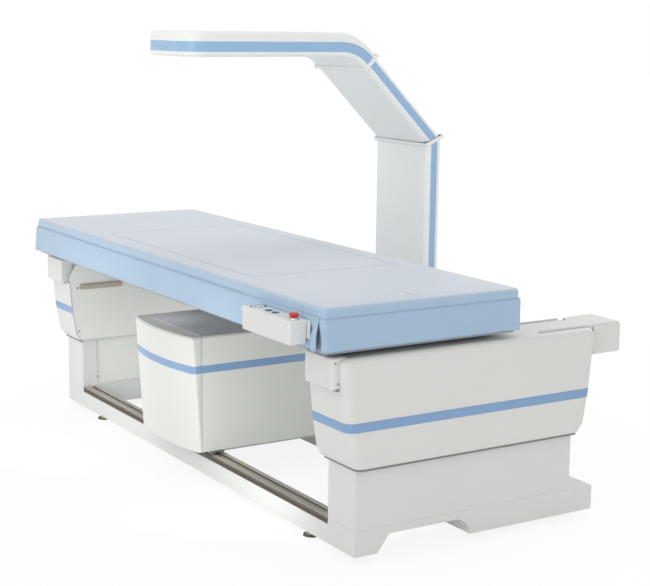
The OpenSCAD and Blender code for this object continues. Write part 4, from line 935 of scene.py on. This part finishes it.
lead_paint = coated("hammered_enamel_grey", "#6F7478", 5.0, 0.4, 0.25)
soft_edged("tube_head", 1.5, lead_paint, "gantry", 2)
soft_edged("collimator", 1.0, galvanised, "gantry", 2)
soft_edged("hv_generator", 2.5, lead_paint, "gantry", 2)
soft_edged("bridge_cover", 3.0, housing_white, "gantry")
soft_edged("arm_spine", 2.0, plate_grey, "gantry", 2)

# ---------------------------------------------------------------- column and arm
# Moulded covers clothe a bent steel spine: an upright column, a slanted section and a horizontal
# arm with a round nose. Their long edges are well rounded, and collars cover the two joints.

arm_x, column_y, mitre_z, arm_level = (-211.5, 95.5), 507.5, 1046, 1356
arc_r, half_t, top_extra = 150, 31, 15
nose_y, nose_r, column_low = -421, 67, 270
tan_half = math.tan(math.radians(22.5))
arc_y = column_y + mitre_z - arm_level - arc_r * tan_half
arc_z = arm_level - arc_r


def bent_bar(out, inside, extra, nose, side):
    """A bar of the arm's outline in Y and Z, made wide in X, with its nose rounded in plan."""
    outline = [(column_y + out, column_low), (column_y + out, mitre_z + out * tan_half)]
    for i in range(13):
        a, r = math.radians(45 + 45 * i / 12), arc_r + out + extra * i / 12
        outline.append((arc_y + r * math.cos(a), arc_z + r * math.sin(a)))
    outline += [(nose, arm_level + out + extra), (nose, arm_level - inside)]
    for i in range(12, -1, -1):
        a, r = math.radians(45 + 45 * i / 12), arc_r - inside
        outline.append((arc_y + r * math.cos(a), arc_z + r * math.sin(a)))
    outline += [(column_y - inside, mitre_z - inside * tan_half), (column_y - inside, column_low)]
    bm = bmesh.new()
    face = bm.faces.new([bm.verts.new((arm_x[0] - side, y, z)) for y, z in outline])
    grown = bmesh.ops.extrude_face_region(bm, geom=[face])["geom"]
    bmesh.ops.translate(bm, vec=(arm_x[1] - arm_x[0] + 2 * side, 0, 0),
                        verts=[g for g in grown if isinstance(g, bmesh.types.BMVert)])
    bmesh.ops.recalc_face_normals(bm, faces=bm.faces)
    front = [e for e in bm.edges if all(v.co.y < nose + 0.1 for v in e.verts)
             and upright(e)]
    bevelled(bm, front, nose_r + side, 14)
    return bm


def arm_skin(edge_r):
    """The whole bent cover's outer face, its long edges rounded."""
    bm = bent_bar(half_t, half_t, top_extra, nose_y, 0)
    long_edges = [e for e in bm.edges if e.calc_face_angle(0) > 1.2
                  and not all(v.co.z < column_low + 0.1 for v in e.verts)]
    bevelled(bm, long_edges, edge_r, 6)
    return bm


def cut_between(bm, below, above):
    """Keeps what lies between two planes of (point, normal), either of which may be None."""
    if above:
        bisect(bm, *above, clear_outer=True)
    if below:
        bisect(bm, *below, clear_inner=True)


ring_run = (arm_level - mitre_z) / math.sin(math.radians(45)) - arc_r * tan_half - 7
half_bend = math.radians(22.5)
mitre = (Vector((0, column_y, mitre_z)), Vector((0, -math.sin(half_bend), math.cos(half_bend))))
upper = (Vector((0, column_y - ring_run * math.sqrt(0.5), mitre_z + ring_run * math.sqrt(0.5))),
         Vector((0, -math.sqrt(0.5), math.sqrt(0.5))))

# The column and arm get a lighter copy of the white moulding: painted light, making up for weaker lamp light
# high up.
arm_white_painted_lighter = coated("moulded_abs_arm_painted_lighter", "#F8FAF9", 1.4, 0.36, 0.03)
for name, node, edge_r, below, above in (("column_shell", "column_cover", 16, None, mitre),
                                         ("slant_shell", "slant_cover", 20, mitre, upper),
                                         ("arm_shell", "arm_cover", 12, upper, None)):
    bm = arm_skin(edge_r)
    cut_between(bm, below, above)
    drop_faces(bm, lambda c, n: c.z < column_low + 0.1)
    to_metres(bm, False)
    piece = shaded_piece(name, bm, arm_white_painted_lighter, "gantry", [node], 40)
    walled(piece, 3, -1)

# ---------------------------------------------------------------- stripe and collars on the arm
# The blue film runs up both sides of the column, along the arm and round its nose; the collars
# are moulded rings pushed over the joints.

arm_blue = coated("vinyl_film_light_blue", "#9EC3E6", 0.8, 0.3, 0.008)
for name, half, below, above in (("column_stripe", 12, None, mitre), ("slant_stripe", 12, mitre, upper),
                                 ("arm_stripe", 15.5, upper, None)):
    bm = bent_bar(half, half, 0, nose_y, 0)
    cut_between(bm, below, above)
    drop_faces(bm, lambda c, n: c.z < column_low + 0.1 or (abs(n.x) < 0.02 and c.y > nose_y + 0.5)
               or abs(n.z) > 0.3)
    to_metres(bm, False)
    piece = shaded_piece(name, bm, arm_blue, "gantry", ["gantry_stripes"], 40)
    walled(piece, 0.6, 1)
soft_edged("arm_rings", 2.2, arm_white_painted_lighter, "gantry", 3)
